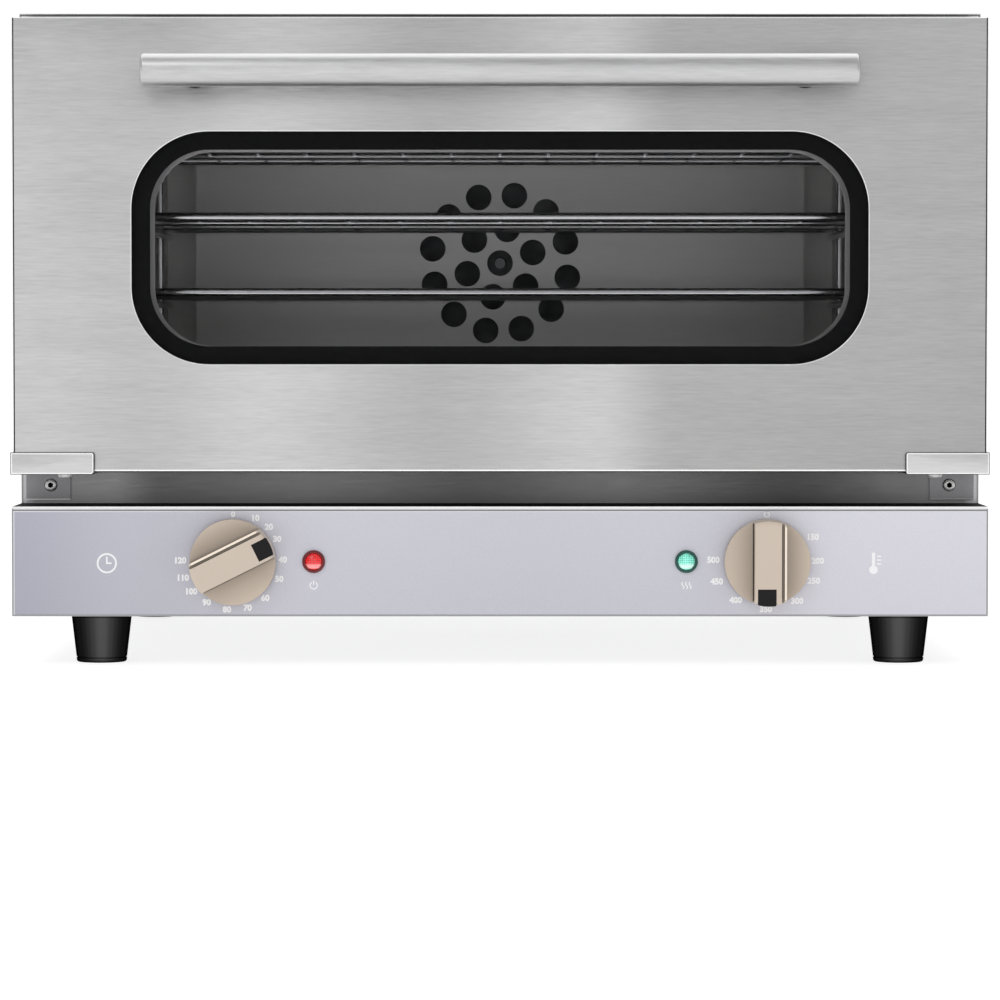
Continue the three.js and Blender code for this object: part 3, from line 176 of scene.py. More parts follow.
class NodeBench:
    """A material under construction, with one method that adds any node."""

    def __init__(self, name: str) -> None:
        """Starts an empty material.

        Args:
            name: the material's name.
        """
        self.material = bpy.data.materials.new(name)
        self.material.use_nodes = True
        self.tree = self.material.node_tree
        self.tree.nodes.clear()

    def add(
        self,
        kind: str,
        settings: Mapping[str, Any] | None = None,
        inputs: Mapping[str | int, Any] | None = None,
    ) -> bpy.types.Node:
        """Adds a node, sets it up and feeds its sockets.

        Args:
            kind: the node's type, such as "ShaderNodeTexNoise".
            settings: the node's own properties, set first; "stops" are a ramp's places and tones.
            inputs: values or sockets for the input sockets, by name or number.

        Returns:
            The node.
        """
        node = self.tree.nodes.new(kind)
        for key, value in (settings or {}).items():
            if key == "stops":
                self._set_stops(node, value)
            else:
                setattr(node, key, value)
        for key, value in (inputs or {}).items():
            if isinstance(value, Socket):
                self.tree.links.new(value.link, node.inputs[key])
            else:
                node.inputs[key].default_value = value
        return node

    def _set_stops(self, node: bpy.types.Node, stops: Stops) -> None:
        """Gives a colour ramp its stops.

        Args:
            node: the ramp.
            stops: pairs of place and grey tone, in order.
        """
        elements = node.color_ramp.elements
        while len(elements) < len(stops):
            elements.new(0.5)
        for element, (place, tone) in zip(elements, stops):
            element.position = place
            element.color = (tone, tone, tone, 1.0)

    def value(
        self,
        kind: str,
        output: str | int,
        settings: Mapping[str, Any] | None = None,
        inputs: Mapping[str | int, Any] | None = None,
    ) -> Socket:
        """Adds a node and wraps one of its outputs.

        Args:
            kind: the node's type.
            output: the output's name or number.
            settings: as for add.
            inputs: as for add.

        Returns:
            The wrapped output.
        """
        return Socket(self, self.add(kind, settings, inputs).outputs[output])

    def math(self, operation: str, first: Socket | float, second: Socket | float) -> Socket:
        """The result of one Math node."""
        return self.value("ShaderNodeMath", 0, {"operation": operation}, {0: first, 1: second})

    def axis(self, name: str) -> Socket:
        """One of the object coordinates, in metres."""
        spot = self.value("ShaderNodeTexCoord", "Object")
        return self.value("ShaderNodeSeparateXYZ", name, None, {"Vector": spot})

    def noise(
        self,
        scale: float | Point,
        detail: float = 2.0,
        roughness: float = 0.5,
        offset: Point = (0, 0, 0),
    ) -> Socket:
        """A noise over the object coordinates, centred on zero, from about -0.5 to 0.5.

        Args:
            scale: its features per metre, as one number or one for each axis.
            detail: how many finer layers it has.
            roughness: how strong they are.
            offset: what is added to the scaled coordinates.

        Returns:
            The noise value.
        """
        scales = scale if isinstance(scale, Sequence) else (scale,) * 3
        mapping = {
            "Vector": self.value("ShaderNodeTexCoord", "Object"),
            "Scale": scales,
            "Location": offset,
        }
        inputs = {
            "Vector": self.value("ShaderNodeMapping", 0, None, mapping),
            "Scale": 1.0,
            "Detail": detail,
            "Roughness": roughness,
        }
        return self.value("ShaderNodeTexNoise", "Fac", None, inputs) - 0.5

    def ramp(self, factor: Socket, stops: Stops) -> Socket:
        """A grey ramp that eases from stop to stop.

        Args:
            factor: what is looked up, from 0 to 1.
            stops: pairs of place and tone.

        Returns:
            The tone.
        """
        node = self.add("ShaderNodeValToRGB", {"stops": stops}, {"Fac": factor})
        node.color_ramp.interpolation = "EASE"
        return Socket(self, node.outputs["Color"])

    def tint(self, colour: Colour | Socket, tone: Socket) -> Socket:
        """A colour scaled by a tone.

        Args:
            colour: linear red, green and blue, or a socket.
            tone: what it is multiplied by.

        Returns:
            The colour.
        """
        grey = self.value("ShaderNodeCombineXYZ", 0, None, {"X": tone, "Y": tone, "Z": tone})
        inputs = {0: grey, 1: colour}
        return self.value("ShaderNodeVectorMath", 0, {"operation": "MULTIPLY"}, inputs)

    def blend(self, factor: Socket, first: Colour | Socket, second: Colour | Socket) -> Socket:
        """A mix of two colours.

        Args:
            factor: 0 for the first and 1 for the second.
            first: a colour or socket.
            second: a colour or socket.

        Returns:
            The mixed colour.
        """
        sides = [c if isinstance(c, Socket) else (*c, 1.0) for c in (first, second)]
        inputs = {"Factor": factor, 6: sides[0], 7: sides[1]}
        return self.value("ShaderNodeMix", 2, {"data_type": "RGBA"}, inputs)

    def bump(self, height: Socket, strength: float, distance: float) -> Socket:
        """A bumped normal.

        Args:
            height: the height, about from -0.5 to 0.5.
            strength: the bump's strength.
            distance: how far one unit of height stands proud, in metres.

        Returns:
            The normal.
        """
        inputs = {"Height": height, "Strength": strength, "Distance": distance}
        return self.value("ShaderNodeBump", 0, None, inputs)

    def surface(self, inputs: Mapping[str | int, Any]) -> bpy.types.Material:
        """Closes the material with a Principled surface.

        Args:
            inputs: the surface's sockets.

        Returns:
            The material.
        """
        shader = self.value("ShaderNodeBsdfPrincipled", 0, None, inputs)
        return self.close(shader)

    def close_mix(self, factor: Socket, first: Socket, second: Socket) -> bpy.types.Material:
        """Closes the material with a mix of two shaders.

        Args:
            factor: 0 for the first and 1 for the second.
            first: a shader.
            second: a shader.

        Returns:
            The material.
        """
        inputs = {0: factor, 1: first, 2: second}
        return self.close(self.value("ShaderNodeMixShader", 0, None, inputs))

    def close(self, shader: Socket) -> bpy.types.Material:
        """Links a shader to the output and returns the material."""
        self.add("ShaderNodeOutputMaterial", None, {"Surface": shader})
        return self.material


# Finishes


def linear(red: int, green: int, blue: int) -> Colour:
    """The linear colour of three sRGB bytes.

    Args:
        red: 0 to 255.
        green: 0 to 255.
        blue: 0 to 255.

    Returns:
        Red, green and blue from 0 to 1.
    """

    def channel(byte: int) -> float:
        """One byte as a linear value."""
        share = byte / 255
        return share / 12.92 if share <= 0.04045 else ((share + 0.055) / 1.055) ** 2.4

    return channel(red), channel(green), channel(blue)


@dataclass(frozen=True)
class Finish:
    """What every finish shares: a name, and one material made when it is first asked for."""

    name: str

    def material(self) -> bpy.types.Material:
        """The finish's material, under a name that no CAD material has."""
        name = f"finish_{self.name}"
        return bpy.data.materials.get(name) or self.build(NodeBench(name))

    def build(self, bench: NodeBench) -> bpy.types.Material:
        """Makes the material; each kind of finish has its own."""
        raise NotImplementedError


@dataclass(frozen=True)
class BrushedSteel(Finish):
    """Sheet steel with hairlines along one axis and, where given, painted reflection bands across it.
    """

    colour: Colour
    grain: tuple[float, float, float] = (60.0, 800.0, 800.0)
    roughness: float = 0.36
    metallic: float = 0.9
    contrast: float = 0.42
    relief: float = 0.25
    bands: Stops = ()
    band_width: float = 600 * MM

    def build(self, bench: NodeBench) -> bpy.types.Material:
        """Hairlines, broader streaks and painted reflection bands drive the tone, roughness and bump.

        Args:
            bench: the material under construction.

        Returns:
            The material.
        """
        hair = bench.noise(self.grain, 3.0, 0.6)
        streak = bench.noise([each / 9 for each in self.grain], offset=(3.1, 5.2, 1.7))
        cloud = bench.noise((5.0, 5.0, 7.0), offset=(0.4, 2.2, 0.9))
        tone = 1.0 + self.contrast * hair + 0.5 * self.contrast * streak + 0.1 * cloud
        # Painted reflections: where bands are given, light and dark bands scale the tone across the
        # sheet
        if self.bands:
            across = bench.axis("X") * (1 / self.band_width) + 0.5
            tone = tone * bench.ramp(across, self.bands)
        return bench.surface(
            {
                "Base Color": bench.tint(self.colour, tone),
                "Metallic": self.metallic,
                "Roughness": self.roughness + self.relief * hair + 0.08 * cloud,
                "Normal": bench.bump(hair, self.relief, 0.02 * MM),
            }
        )


@dataclass(frozen=True)
class FasciaFilm(Finish):
    """The printed film on the control strip: a cool satin grey with a fine metallic fleck."""

    colour: Colour
    far_colour: Colour
    drift: Stops
    length: float = 606 * MM
    middle: float = 55 * MM
    top_light: float = 0.9

    def build(self, bench: NodeBench) -> bpy.types.Material:
        """Painted light: a slow drift of tone along the strip from its shaded colour to its lit far
        colour, and a lighter top, under a fine fleck.

        Args:
            bench: the material under construction.

        Returns:
            The material.
        """
        fleck = bench.noise(900.0, 1.0)
        # Painted light: lighter towards the top, and drifting from the shaded colour to the lit far
        # colour along the strip
        rise = self.top_light * (bench.axis("Z") - self.middle)
        drift = bench.ramp(bench.axis("X") * (1 / self.length) + 0.5, self.drift)
        base = bench.blend(drift, self.colour, self.far_colour)
        return bench.surface(
            {
                "Base Color": bench.tint(base, 1.0 + 0.12 * fleck + rise),
                "Metallic": 0.15,
                "Roughness": 0.42 + 0.1 * fleck,
                "Normal": bench.bump(fleck, 0.12, 0.02 * MM),
            }
        )


@dataclass(frozen=True)
class Moulded(Finish):
    """Moulded plastic, rubber or silicone with a fine spark-eroded texture."""

    colour: Colour
    roughness: float = 0.45
    texture: float = 0.3
    texture_size: float = 0.35 * MM
    coat: float = 0.0
    wear: float = 0.06
    specular: float = 0.5
    crevice: float = 0.0

    def build(self, bench: NodeBench) -> bpy.types.Material:
        """A fine pebble texture with a slow cloud of wear, and painted shade in the hollows.

        Args:
            bench: the material under construction.

        Returns:
            The material.
        """
        pebble = bench.noise(1 / self.texture_size, 1.0)
        cloud = bench.noise(60.0, 3.0, offset=(1.3, 0.2, 4.1))
        tone = 1.0 + self.wear * 2 * cloud + self.wear * pebble
        # Painted shade: ambient occlusion at two reaches darkens the colour in hollows and creases
        if self.crevice:
            for reach in (14 * MM, 2 * MM):
                open_share = bench.value(
                    "ShaderNodeAmbientOcclusion", "AO", {"samples": 8}, {"Distance": reach}
                )
                tone = tone * (1.0 - self.crevice * (1.0 - open_share))
        return bench.surface(
            {
                "Base Color": bench.tint(self.colour, tone),
                "Roughness": self.roughness + 0.15 * cloud + 0.06 * pebble,
                "Coat Weight": self.coat,
                "Coat Roughness": 0.2,
                "Specular IOR Level": self.specular,
                "Normal": bench.bump(pebble, self.texture, 0.03 * MM),
            }
        )


@dataclass(frozen=True)
class SheenRubber(Finish):
    """Black rubber that is shiny where it faces the eye and dull towards its outline."""

    colour: Colour
    roughness: float = 0.3

    def build(self, bench: NodeBench) -> bpy.types.Material:
        """A matt, faintly pebbled black that turns glossy where it faces the eye.

        Args:
            bench: the material under construction.

        Returns:
            The material.
        """
        pebble = bench.noise(2600.0, 1.0)
        dust = bench.noise(70.0, 3.0)
        facing = bench.value("ShaderNodeLayerWeight", "Facing", None, {"Blend": 0.5})
        tone = bench.tint(self.colour, 1.0 + 0.3 * dust + 0.1 * pebble)
        normal = bench.bump(pebble, 0.1, 0.02 * MM)
        matt = {"Base Color": tone, "Roughness": 0.9, "Specular IOR Level": 0.0, "Normal": normal}
        shiny = {
            "Base Color": tone,
            "Roughness": self.roughness + 0.1 * dust,
            "Specular IOR Level": 1.0,
            "Normal": normal,
        }
        sides = [bench.value("ShaderNodeBsdfPrincipled", 0, None, each) for each in (matt, shiny)]
        stops = ((0.3, 0.0), (0.66, 0.05), (0.78, 0.13), (0.866, 0.28), (0.93, 0.5), (1.0, 1.0))
        factor = bench.ramp(1.0 - facing, stops)
        return bench.close_mix(factor, *sides)


@dataclass(frozen=True)
class Chrome(Finish):
    """Plated wire and screws, and painted highlights: bright, with faint smudges."""

    colour: Colour
    roughness: float = 0.16
    metallic: float = 1.0

    def build(self, bench: NodeBench) -> bpy.types.Material:
        """Slow smudges of roughness over a bright metal.

        Args:
            bench: the material under construction.

        Returns:
            The material.
        """
        smudge = bench.noise(110.0, 3.0, 0.6)
        return bench.surface(
            {
                "Base Color": bench.tint(self.colour, 1.0 + 0.2 * smudge),
                "Metallic": self.metallic,
                "Roughness": self.roughness + 0.15 * smudge,
            }
        )


@dataclass(frozen=True)
class CastMetal(Finish):
    """Cast, galvanised or heat-coloured metal with a grainy skin."""

    colour: Colour
    stain: Colour
    roughness: float = 0.5
    metallic: float = 0.7

    def build(self, bench: NodeBench) -> bpy.types.Material:
        """A coarse grain, with patches of a second tone.

        Args:
            bench: the material under construction.

        Returns:
            The material.
        """
        grain = bench.noise(700.0)
        patch = bench.noise(45.0, 4.0, 0.6, (2.0, 7.0, 1.0))
        mask = bench.ramp(patch + 0.5, ((0.35, 0.0), (0.65, 1.0)))
        return bench.surface(
            {
                "Base Color": bench.blend(mask, self.colour, self.stain),
                "Metallic": self.metallic,
                "Roughness": self.roughness + 0.2 * patch + 0.1 * grain,
                "Normal": bench.bump(grain, 0.4, 0.08 * MM),
            }
        )


@dataclass(frozen=True)
class WindowGlass(Finish):
    """A tinted pane: mostly see-through, with a clear reflection at its surface."""

    tint: Colour
    gloss: float = 0.03
    mirror: float = 0.15

    def build(self, bench: NodeBench) -> bpy.types.Material:
        """A transparent tint under a Fresnel gloss, with faint wiping marks in its roughness.

        Args:
            bench: the material under construction.

        Returns:
            The material.
        """
        marks = bench.noise((9.0, 9.0, 30.0), 4.0)
        through = bench.value("ShaderNodeBsdfTransparent", 0, None, {"Color": (*self.tint, 1.0)})
        shine = bench.value(
            "ShaderNodeBsdfPrincipled",
            0,
            None,
            {
                "Base Color": (0.01, 0.011, 0.012, 1.0),
                "Metallic": 0.0,
                "Roughness": self.gloss + 0.03 * marks,
                "Coat Weight": 1.0,
                "Coat Roughness": 0.02,
            },
        )
        rim = bench.value("ShaderNodeFresnel", 0, None, {"IOR": 1.5})
        return bench.close_mix(rim * self.mirror, through, shine)


@dataclass(frozen=True)
class PilotGlass(Finish):
    """A lit pilot lamp's lens, with prisms behind it and a painted reflection low in the glass."""

    colour: Colour
    glow: Colour
    filament: Colour
    strength: float
    height: float = 63.5 * MM
    radius: float = 5.2 * MM
    prism: float = 1.1 * MM

    def build(self, bench: NodeBench) -> bpy.types.Material:
        """Diamond prisms break up the glow under a clear coat, over a pale painted reflection low
        down.

        Args:
            bench: the material under construction.

        Returns:
            The material.
        """
        across = bench.axis("X") * (1 / self.prism)
        up = bench.axis("Z") * (1 / self.prism)
        first = bench.math("SINE", (across + up) * math.pi, 0.0)
        second = bench.math("SINE", (across - up) * math.pi, 0.0)
        prisms = bench.math("MULTIPLY", first, second)
        speck = bench.noise(500.0)
        # Painted reflection: a pale band low in the lens, in its colour and its glow
        rise = (bench.axis("Z") - self.height) * (0.5 / self.radius) + 0.5
        stops = ((0.06, 0.0), (0.16, 0.85), (0.3, 0.7), (0.42, 0.0))
        low = bench.ramp(rise, stops) * (1.0 + 0.5 * speck)
        tone = 1.0 + 0.6 * prisms + 0.9 * speck
        return bench.surface(
            {
                "Base Color": bench.blend(low, bench.tint(self.colour, tone), self.filament),
                "Roughness": 0.12,
                "Coat Weight": 1.0,
                "Coat Roughness": 0.03,
                "Emission Color": bench.blend(low, bench.tint(self.glow, tone), self.filament),
                "Emission Strength": self.strength,
                "Normal": bench.bump(prisms, 0.4, 0.12 * MM),
            }
        )


@dataclass(frozen=True)
class MineralWool(Finish):
    """Loose pressed fibre behind the cavity."""

    colour: Colour

    def build(self, bench: NodeBench) -> bpy.types.Material:
        """Tangled fibres at two scales.

        Args:
            bench: the material under construction.

        Returns:
            The material.
        """
        fibre = bench.noise((900.0, 260.0, 260.0), 5.0, 0.7)
        tuft = bench.noise(40.0, 4.0)
        return bench.surface(
            {
                "Base Color": bench.tint(self.colour, 1.0 + 0.5 * fibre + 0.5 * tuft),
                "Roughness": 0.95,
                "Normal": bench.bump(fibre + tuft, 0.8, 1.2 * MM),
            }
        )


# Painted light along a sheet, standing in for the light and reflections across it: places from 0 at
# its left end to 1 at its right, each with its tone
FILM_PAINTED_LIGHT = (
    (0.0, 0.03),
    (0.14, 0.39),
    (0.29, 0.72),
    (0.52, 0.66),
    (0.66, 0.71),
    (0.72, 0.69),
    (0.83, 1.0),
)
# The door's painted reflections: light and dark bands across its steel
DOOR_PAINTED_REFLECTIONS = (
    (0.0, 1.0),
    (0.14, 0.87),
    (0.26, 1.01),
    (0.44, 0.78),
    (0.6, 0.98),
    (0.68, 0.74),
    (1.0, 0.74),
)
# The rail's painted light: reflection bands across it, with bright painted highlights at its bent
# ends
RAIL_PAINTED_LIGHT = (
    (0.005, 0.4),
    (0.007, 3.0),
    (0.014, 2.3),
    (0.02, 1.7),
    (0.094, 1.7),
    (0.15, 0.87),
    (0.3, 1.2),
    (0.47, 0.8),
    (0.62, 1.3),
    (0.8, 0.58),
    (0.98, 1.5),
    (0.986, 2.6),
    (0.993, 3.0),
    (0.995, 0.4),
)


class Finishes:
    """The oven's finishes, each under the name of the place it is used."""

    CASING_SIDE = BrushedSteel(
        "casing_side_steel", linear(190, 190, 191), grain=(800.0, 60.0, 800.0)
    )
    CASING_TOP = BrushedSteel("casing_top_steel", linear(194, 194, 195))
    # The door's steel carries painted reflection bands
    DOOR = BrushedSteel("door_steel", linear(196, 196, 196), bands=DOOR_PAINTED_REFLECTIONS)
    STRIP = BrushedSteel("strip_steel", linear(208, 208, 210), roughness=0.3)
    BRACKET = BrushedSteel("bracket_steel", linear(204, 204, 204), contrast=0.3)
    # The rail's dark steel is painted shade of its recess under the door
    RAIL = BrushedSteel(
        "rail_steel", linear(122, 122, 123), roughness=0.42, contrast=0.2, bands=RAIL_PAINTED_LIGHT
    )
    # Its darker tone is painted shade, matched to the rail's recess under the door
    HINGE = BrushedSteel(
        "hinge_steel", linear(138, 138, 140), grain=(700.0, 60.0, 700.0), contrast=0.3
    )
    # Painted shade on the control strip's ledge under the door
    LEDGE = Moulded("ledge_coating", linear(30, 30, 31), 0.7, 0.2, specular=0.05)
    # Painted highlights on folds, hems and crests
    FOLD = Chrome("polished_fold", linear(252, 252, 252), 0.25, 0.3)
    # Painted shadow beside the door's outer side folds
    SEAM = Moulded("dark_seam", linear(30, 30, 31), 0.6, 0.1, specular=0.1)
    # Painted shadow under the door's hem
    LIP = Moulded("dark_lip", linear(6, 6, 6), 0.9, 0.05, specular=0.0)
    # Painted shade on folds and edges
    DARK_FOLD = Moulded("dark_fold", linear(70, 70, 71), 0.6, 0.1, specular=0.2)
    # Painted shade on the strip's front and folds round the film
    MARGIN = Moulded("margin_steel", linear(164, 164, 167), 0.5, 0.1)
    LINER = BrushedSteel(
        "liner_steel", linear(214, 213, 211), roughness=0.34, contrast=0.16, relief=0.05
    )
    PAN = BrushedSteel("pan_steel", linear(140, 141, 142), roughness=0.45)
    # The film's shaded left colour and lit right colour, with painted light between them
    FASCIA = FasciaFilm(
        "fascia_print", linear(169, 170, 182), linear(213, 212, 221), drift=FILM_PAINTED_LIGHT
    )
    # A painted highlight on the knob's grip edges and ridge
    CHAMPAGNE_EDGE = Moulded("knob_edge", linear(252, 238, 220), 0.35, 0.05, wear=0.02)
    # Painted shade darkens the knob's hollows, groove and the foot of its grip
    CHAMPAGNE = Moulded(
        "knob_champagne", linear(207, 192, 176), 0.4, 0.12, 0.3 * MM, 0.15, 0.03, crevice=0.65
    )
    BLACK = Moulded("black_plastic", linear(18, 17, 17), 0.4, specular=0.2)
    RUBBER = SheenRubber("foot_rubber", linear(8, 8, 8))
    SILICONE = Moulded("gasket_rubber", linear(40, 40, 41), 0.6, 0.4)
    ENAMEL = Moulded("border_enamel", linear(16, 16, 17), 0.5, 0.02, wear=0.02, specular=0.06)
    # Painted shade along the film's top edge, and a painted highlight inside its edge
    KEYLINE = Moulded("keyline_print", linear(126, 126, 130), 0.5, 0.05)
    PALE_LINE = Moulded("pale_line_print", linear(222, 222, 227), 0.5, 0.05)
    # White print for the numbers and signs, also the white painted highlight at the film's crest
    WHITE_PRINT = Moulded("white_print", linear(246, 246, 248), 0.5, 0.05, wear=0.0)
    CERAMIC = Moulded("terminal_ceramic", linear(228, 224, 214), 0.3, 0.2, 0.6 * MM, 0.3)
    CHROME = Chrome("wire_chrome", linear(214, 214, 216))
    SCREW = Chrome("screw_steel", linear(236, 236, 235), 0.32, 0.45)
    # Painted shade in screw sockets and on screw flanks
    SOCKET = Moulded("screw_socket", linear(12, 12, 12), 0.8, 0.1, specular=0.02)
    HEATER = CastMetal("heater_sheath", linear(88, 82, 76), linear(62, 56, 60), 0.45)
    ALLOY = CastMetal("cast_alloy", linear(132, 134, 136), linear(112, 113, 114))
    OUTER_GLASS = WindowGlass("door_glass", (0.965, 0.965, 0.97))
    INNER_GLASS = WindowGlass("inner_glass", (0.985, 0.985, 0.985))
    # Each lens's third colour is its pale painted reflection
    RED = PilotGlass(
        "red_lens", linear(206, 6, 14), (0.9, 0.004, 0.01), linear(255, 160, 160), 0.22
    )
    RED_RING = Moulded("red_lens_ring", linear(104, 6, 12), 0.25, 0.0, wear=0.02)
    GREEN = PilotGlass(
        "green_lens", linear(128, 226, 204), (0.2, 0.9, 0.66), linear(226, 255, 246), 0.14
    )
    GREEN_RING = Moulded("green_lens_ring", linear(4, 74, 64), 0.25, 0.0, wear=0.02)
    WOOL = MineralWool("insulation_wool", linear(208, 200, 178))


# Modelling with operators


def deselect() -> None:
    """Leaves edit mode and deselects every object."""
    if bpy.context.mode != "OBJECT":
        bpy.ops.object.mode_set(mode="OBJECT")
    bpy.ops.object.select_all(action="DESELECT")


def activate(piece: Piece) -> None:
    """Selects one object alone and makes it the active one."""
    deselect()
    piece.select_set(True)
    bpy.context.view_layer.objects.active = piece


def settle(piece: Piece, name: str) -> Piece:
    """Names a piece and moves its place, turn and scale into its mesh.

    Args:
        piece: the object.
        name: its name.

    Returns:
        The same object, at the origin.
    """
    activate(piece)
    piece.name = name
    piece.data.name = name
    bpy.ops.object.transform_apply(location=True, rotation=True, scale=True)
    return piece


def block(name: str, low: Point, high: Point) -> Piece:
    """A box between two corners.

    Args:
        name: its name.
        low: one corner.
        high: the opposite corner.

    Returns:
        The box.
    """
    deselect()
    centre = [(a + b) / 2 for a, b in zip(low, high)]
    bpy.ops.mesh.primitive_cube_add(size=1.0, location=centre)
    piece = bpy.context.object
    piece.scale = [abs(b - a) for a, b in zip(low, high)]
    return settle(piece, name)


def rod(name: str, start: Point, end: Point, radius: float, sides: int = 24) -> Piece:
    """A round bar between two points.

    Args:
        name: its name.
        start: one end's centre.
        end: the other end's centre.
        radius: the bar's radius.
        sides: how many faces go round it.

    Returns:
        The bar.
    """
    deselect()
    first, last = Vector(start), Vector(end)
    along = last - first
    bpy.ops.mesh.primitive_cylinder_add(
        vertices=sides, radius=radius, depth=along.length, location=(first + last) / 2
    )
    piece = bpy.context.object
    piece.rotation_mode = "QUATERNION"
    piece.rotation_quaternion = along.to_track_quat("Z", "Y")
    return settle(piece, name)


def turned(
    name: str,
    profile: Profile,
    place: Point,
    facing: Facing,
    sides: int = 64,
) -> Piece:
    """A turned piece, drawn ring by ring from one end to the other.

    Args:
        name: its name.
        profile: pairs of radius and height along the axis, in order.
        place: where height zero of the axis lies.
        facing: the way the heights grow.
        sides: how many faces go round it.

    Returns:
        The turned piece.
    """
    deselect()
    radius, height = profile[0]
    bpy.ops.mesh.primitive_circle_add(vertices=sides, radius=radius, fill_type="NGON")
    piece = bpy.context.object
    bpy.ops.object.mode_set(mode="EDIT")
    bpy.ops.mesh.select_mode(type="FACE")
    bpy.ops.mesh.select_all(action="SELECT")
    bpy.ops.transform.translate(value=(0, 0, height))
    for next_radius, next_height in profile[1:]:
        bpy.ops.mesh.extrude_region_move(
            TRANSFORM_OT_translate={"value": (0, 0, next_height - height)}
        )
        share = next_radius / radius
        bpy.ops.transform.resize(value=(share, share, 1), center_override=(0, 0, next_height))
        radius, height = next_radius, next_height
    bpy.ops.mesh.select_all(action="SELECT")
    bpy.ops.mesh.normals_make_consistent(inside=False)
    leave_edit()
    piece.rotation_euler = facing.value
    piece.location = place
    return settle(piece, name)


def edit_all(piece: Piece) -> None:
    """Enters edit mode with the whole of a piece's mesh selected."""
    activate(piece)
    bpy.ops.object.mode_set(mode="EDIT")
    bpy.ops.mesh.select_all(action="SELECT")


def leave_edit() -> None:
    """Goes back to object mode."""
    bpy.ops.object.mode_set(mode="OBJECT")


def pick(piece: Piece, part: Part, test: Callable[[Any], bool]) -> int:
    """Enters edit mode and selects the faces or edges that pass a test.

    Args:
        piece: the object.
        part: whether faces or edges are picked.
        test: says whether one of them is wanted.

    Returns:
        How many are selected.
    """
    activate(piece)
    bpy.ops.object.mode_set(mode="EDIT")
    bpy.ops.mesh.select_mode(type=part.name)
    bpy.ops.mesh.select_all(action="DESELECT")
    mesh = bmesh.from_edit_mesh(piece.data)
    found = [each for each in getattr(mesh, part.value) if test(each)]
    for each in found:
        each.select_set(True)
    bmesh.update_edit_mesh(piece.data)
    return len(found)


def middle_of(node: str) -> tuple[float, float, float]:
    """The centre of a CAD node's box."""
    low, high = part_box(node)
    return (low.x + high.x) / 2, (low.y + high.y) / 2, (low.z + high.z) / 2


def centre_of(face: bmesh.types.BMFace) -> Vector:
    """The middle of a face's corners."""
    return face.calc_center_median()


def runs_along(edge: bmesh.types.BMEdge, axis: int) -> bool:
    """Whether an edge runs along the X, Y or Z axis, numbered 0, 1 and 2."""
    along = edge.verts[1].co - edge.verts[0].co
    return along.length > 0 and abs(along[axis]) > 0.999 * along.length


def round_corners(piece: Piece, axis: int, radius: float, segments: int = 12) -> Piece:
    """Rounds the edges that run along one axis.

    Args:
        piece: a box.
        axis: 0, 1 or 2 for X, Y or Z.
        radius: the corners' radius.
        segments: how many steps each corner has.

    Returns:
        The same piece.
    """
    pick(piece, Part.EDGE, lambda edge: runs_along(edge, axis))
    bpy.ops.mesh.bevel(offset=radius, segments=segments, profile=0.5, affect="EDGES")
    leave_edit()
    return piece


def tray(name: str, low: Point, high: Point, wall: float, open_towards: Point) -> Piece:
    """A folded tray: a box with one side open.

    Args:
        name: its name.
        low: one corner.
        high: the opposite corner.
        wall: the sheet's thickness.
        open_towards: the normal of the open side.

    Returns:
        The tray.
    """
    piece = block(name, low, high)
    normal = Vector(open_towards)
    depth = abs(Vector([b - a for a, b in zip(low, high)]).dot(normal)) - wall
    pick(piece, Part.FACE, lambda face: face.normal.dot(normal) > 0.9)
    bpy.ops.mesh.inset(thickness=wall)
    bpy.ops.mesh.extrude_region_move(TRANSFORM_OT_translate={"value": -depth * normal})
    leave_edit()
    return piece


def joined(name: str, pieces: Sequence[Piece]) -> Piece:
    """Joins pieces into one object.

    Args:
        name: the object's name.
        pieces: what is joined.

    Returns:
        The object.
    """
    activate(pieces[0])
    for piece in pieces[1:]:
        piece.select_set(True)
    if len(pieces) > 1:
        bpy.ops.object.join()
    return settle(pieces[0], name)


def modified(piece: Piece, kind: str, **settings: Any) -> Piece:
    """Sets up one modifier and applies it.

    Args:
        piece: the object.
        kind: the modifier's type, such as "BEVEL".
        **settings: the modifier's own properties.

    Returns:
        The same piece.
    """
    modifier = piece.modifiers.new(kind.lower(), kind)
    for key, value in settings.items():
        setattr(modifier, key, value)
    activate(piece)
    bpy.ops.object.modifier_apply(modifier=modifier.name)
    return piece


def cut(piece: Piece, *tools: Piece) -> Piece:
    """Cuts tools out of a piece and removes them.

    Args:
        piece: what is cut.
        tools: closed shapes that don't touch each other.

    Returns:
        The same piece.
    """
    tool = joined("cutting_tool", tools)
    modified(piece, "BOOLEAN", operation="DIFFERENCE", solver="EXACT", object=tool)
    bpy.data.objects.remove(tool)
    return piece


def weld(piece: Piece) -> Piece:
    """Merges a mesh's doubles and dissolves the lines on its flat faces.

    Args:
        piece: a mesh of loose triangles, or the result of a cut.

    Returns:
        The same piece.
    """
    edit_all(piece)
    bpy.ops.mesh.remove_doubles(threshold=0.002 * MM)
    bpy.ops.mesh.dissolve_limited(angle_limit=math.radians(0.4))
    leave_edit()
    return piece


def soften(piece: Piece, width: float, segments: int = 2, angle: float = 32.0) -> Piece:
    """Breaks a piece's sharp edges with a bevel and shades the rest smooth.

    Args:
        piece: the object.
        width: the bevel's width.
        segments: how many steps it has.
        angle: edges sharper than this, in degrees, are bevelled.

    Returns:
        The same piece.
    """
    limits = {"limit_method": "ANGLE", "angle_limit": math.radians(angle)}
    modified(piece, "BEVEL", width=width, segments=segments, **limits)
    return flatten_shading(smooth(piece, angle))


def flatten_shading(piece: Piece) -> Piece:
    """Weights a piece's normals by face area, so that its flat faces shade flat."""
    return modified(piece, "WEIGHTED_NORMAL", keep_sharp=True)


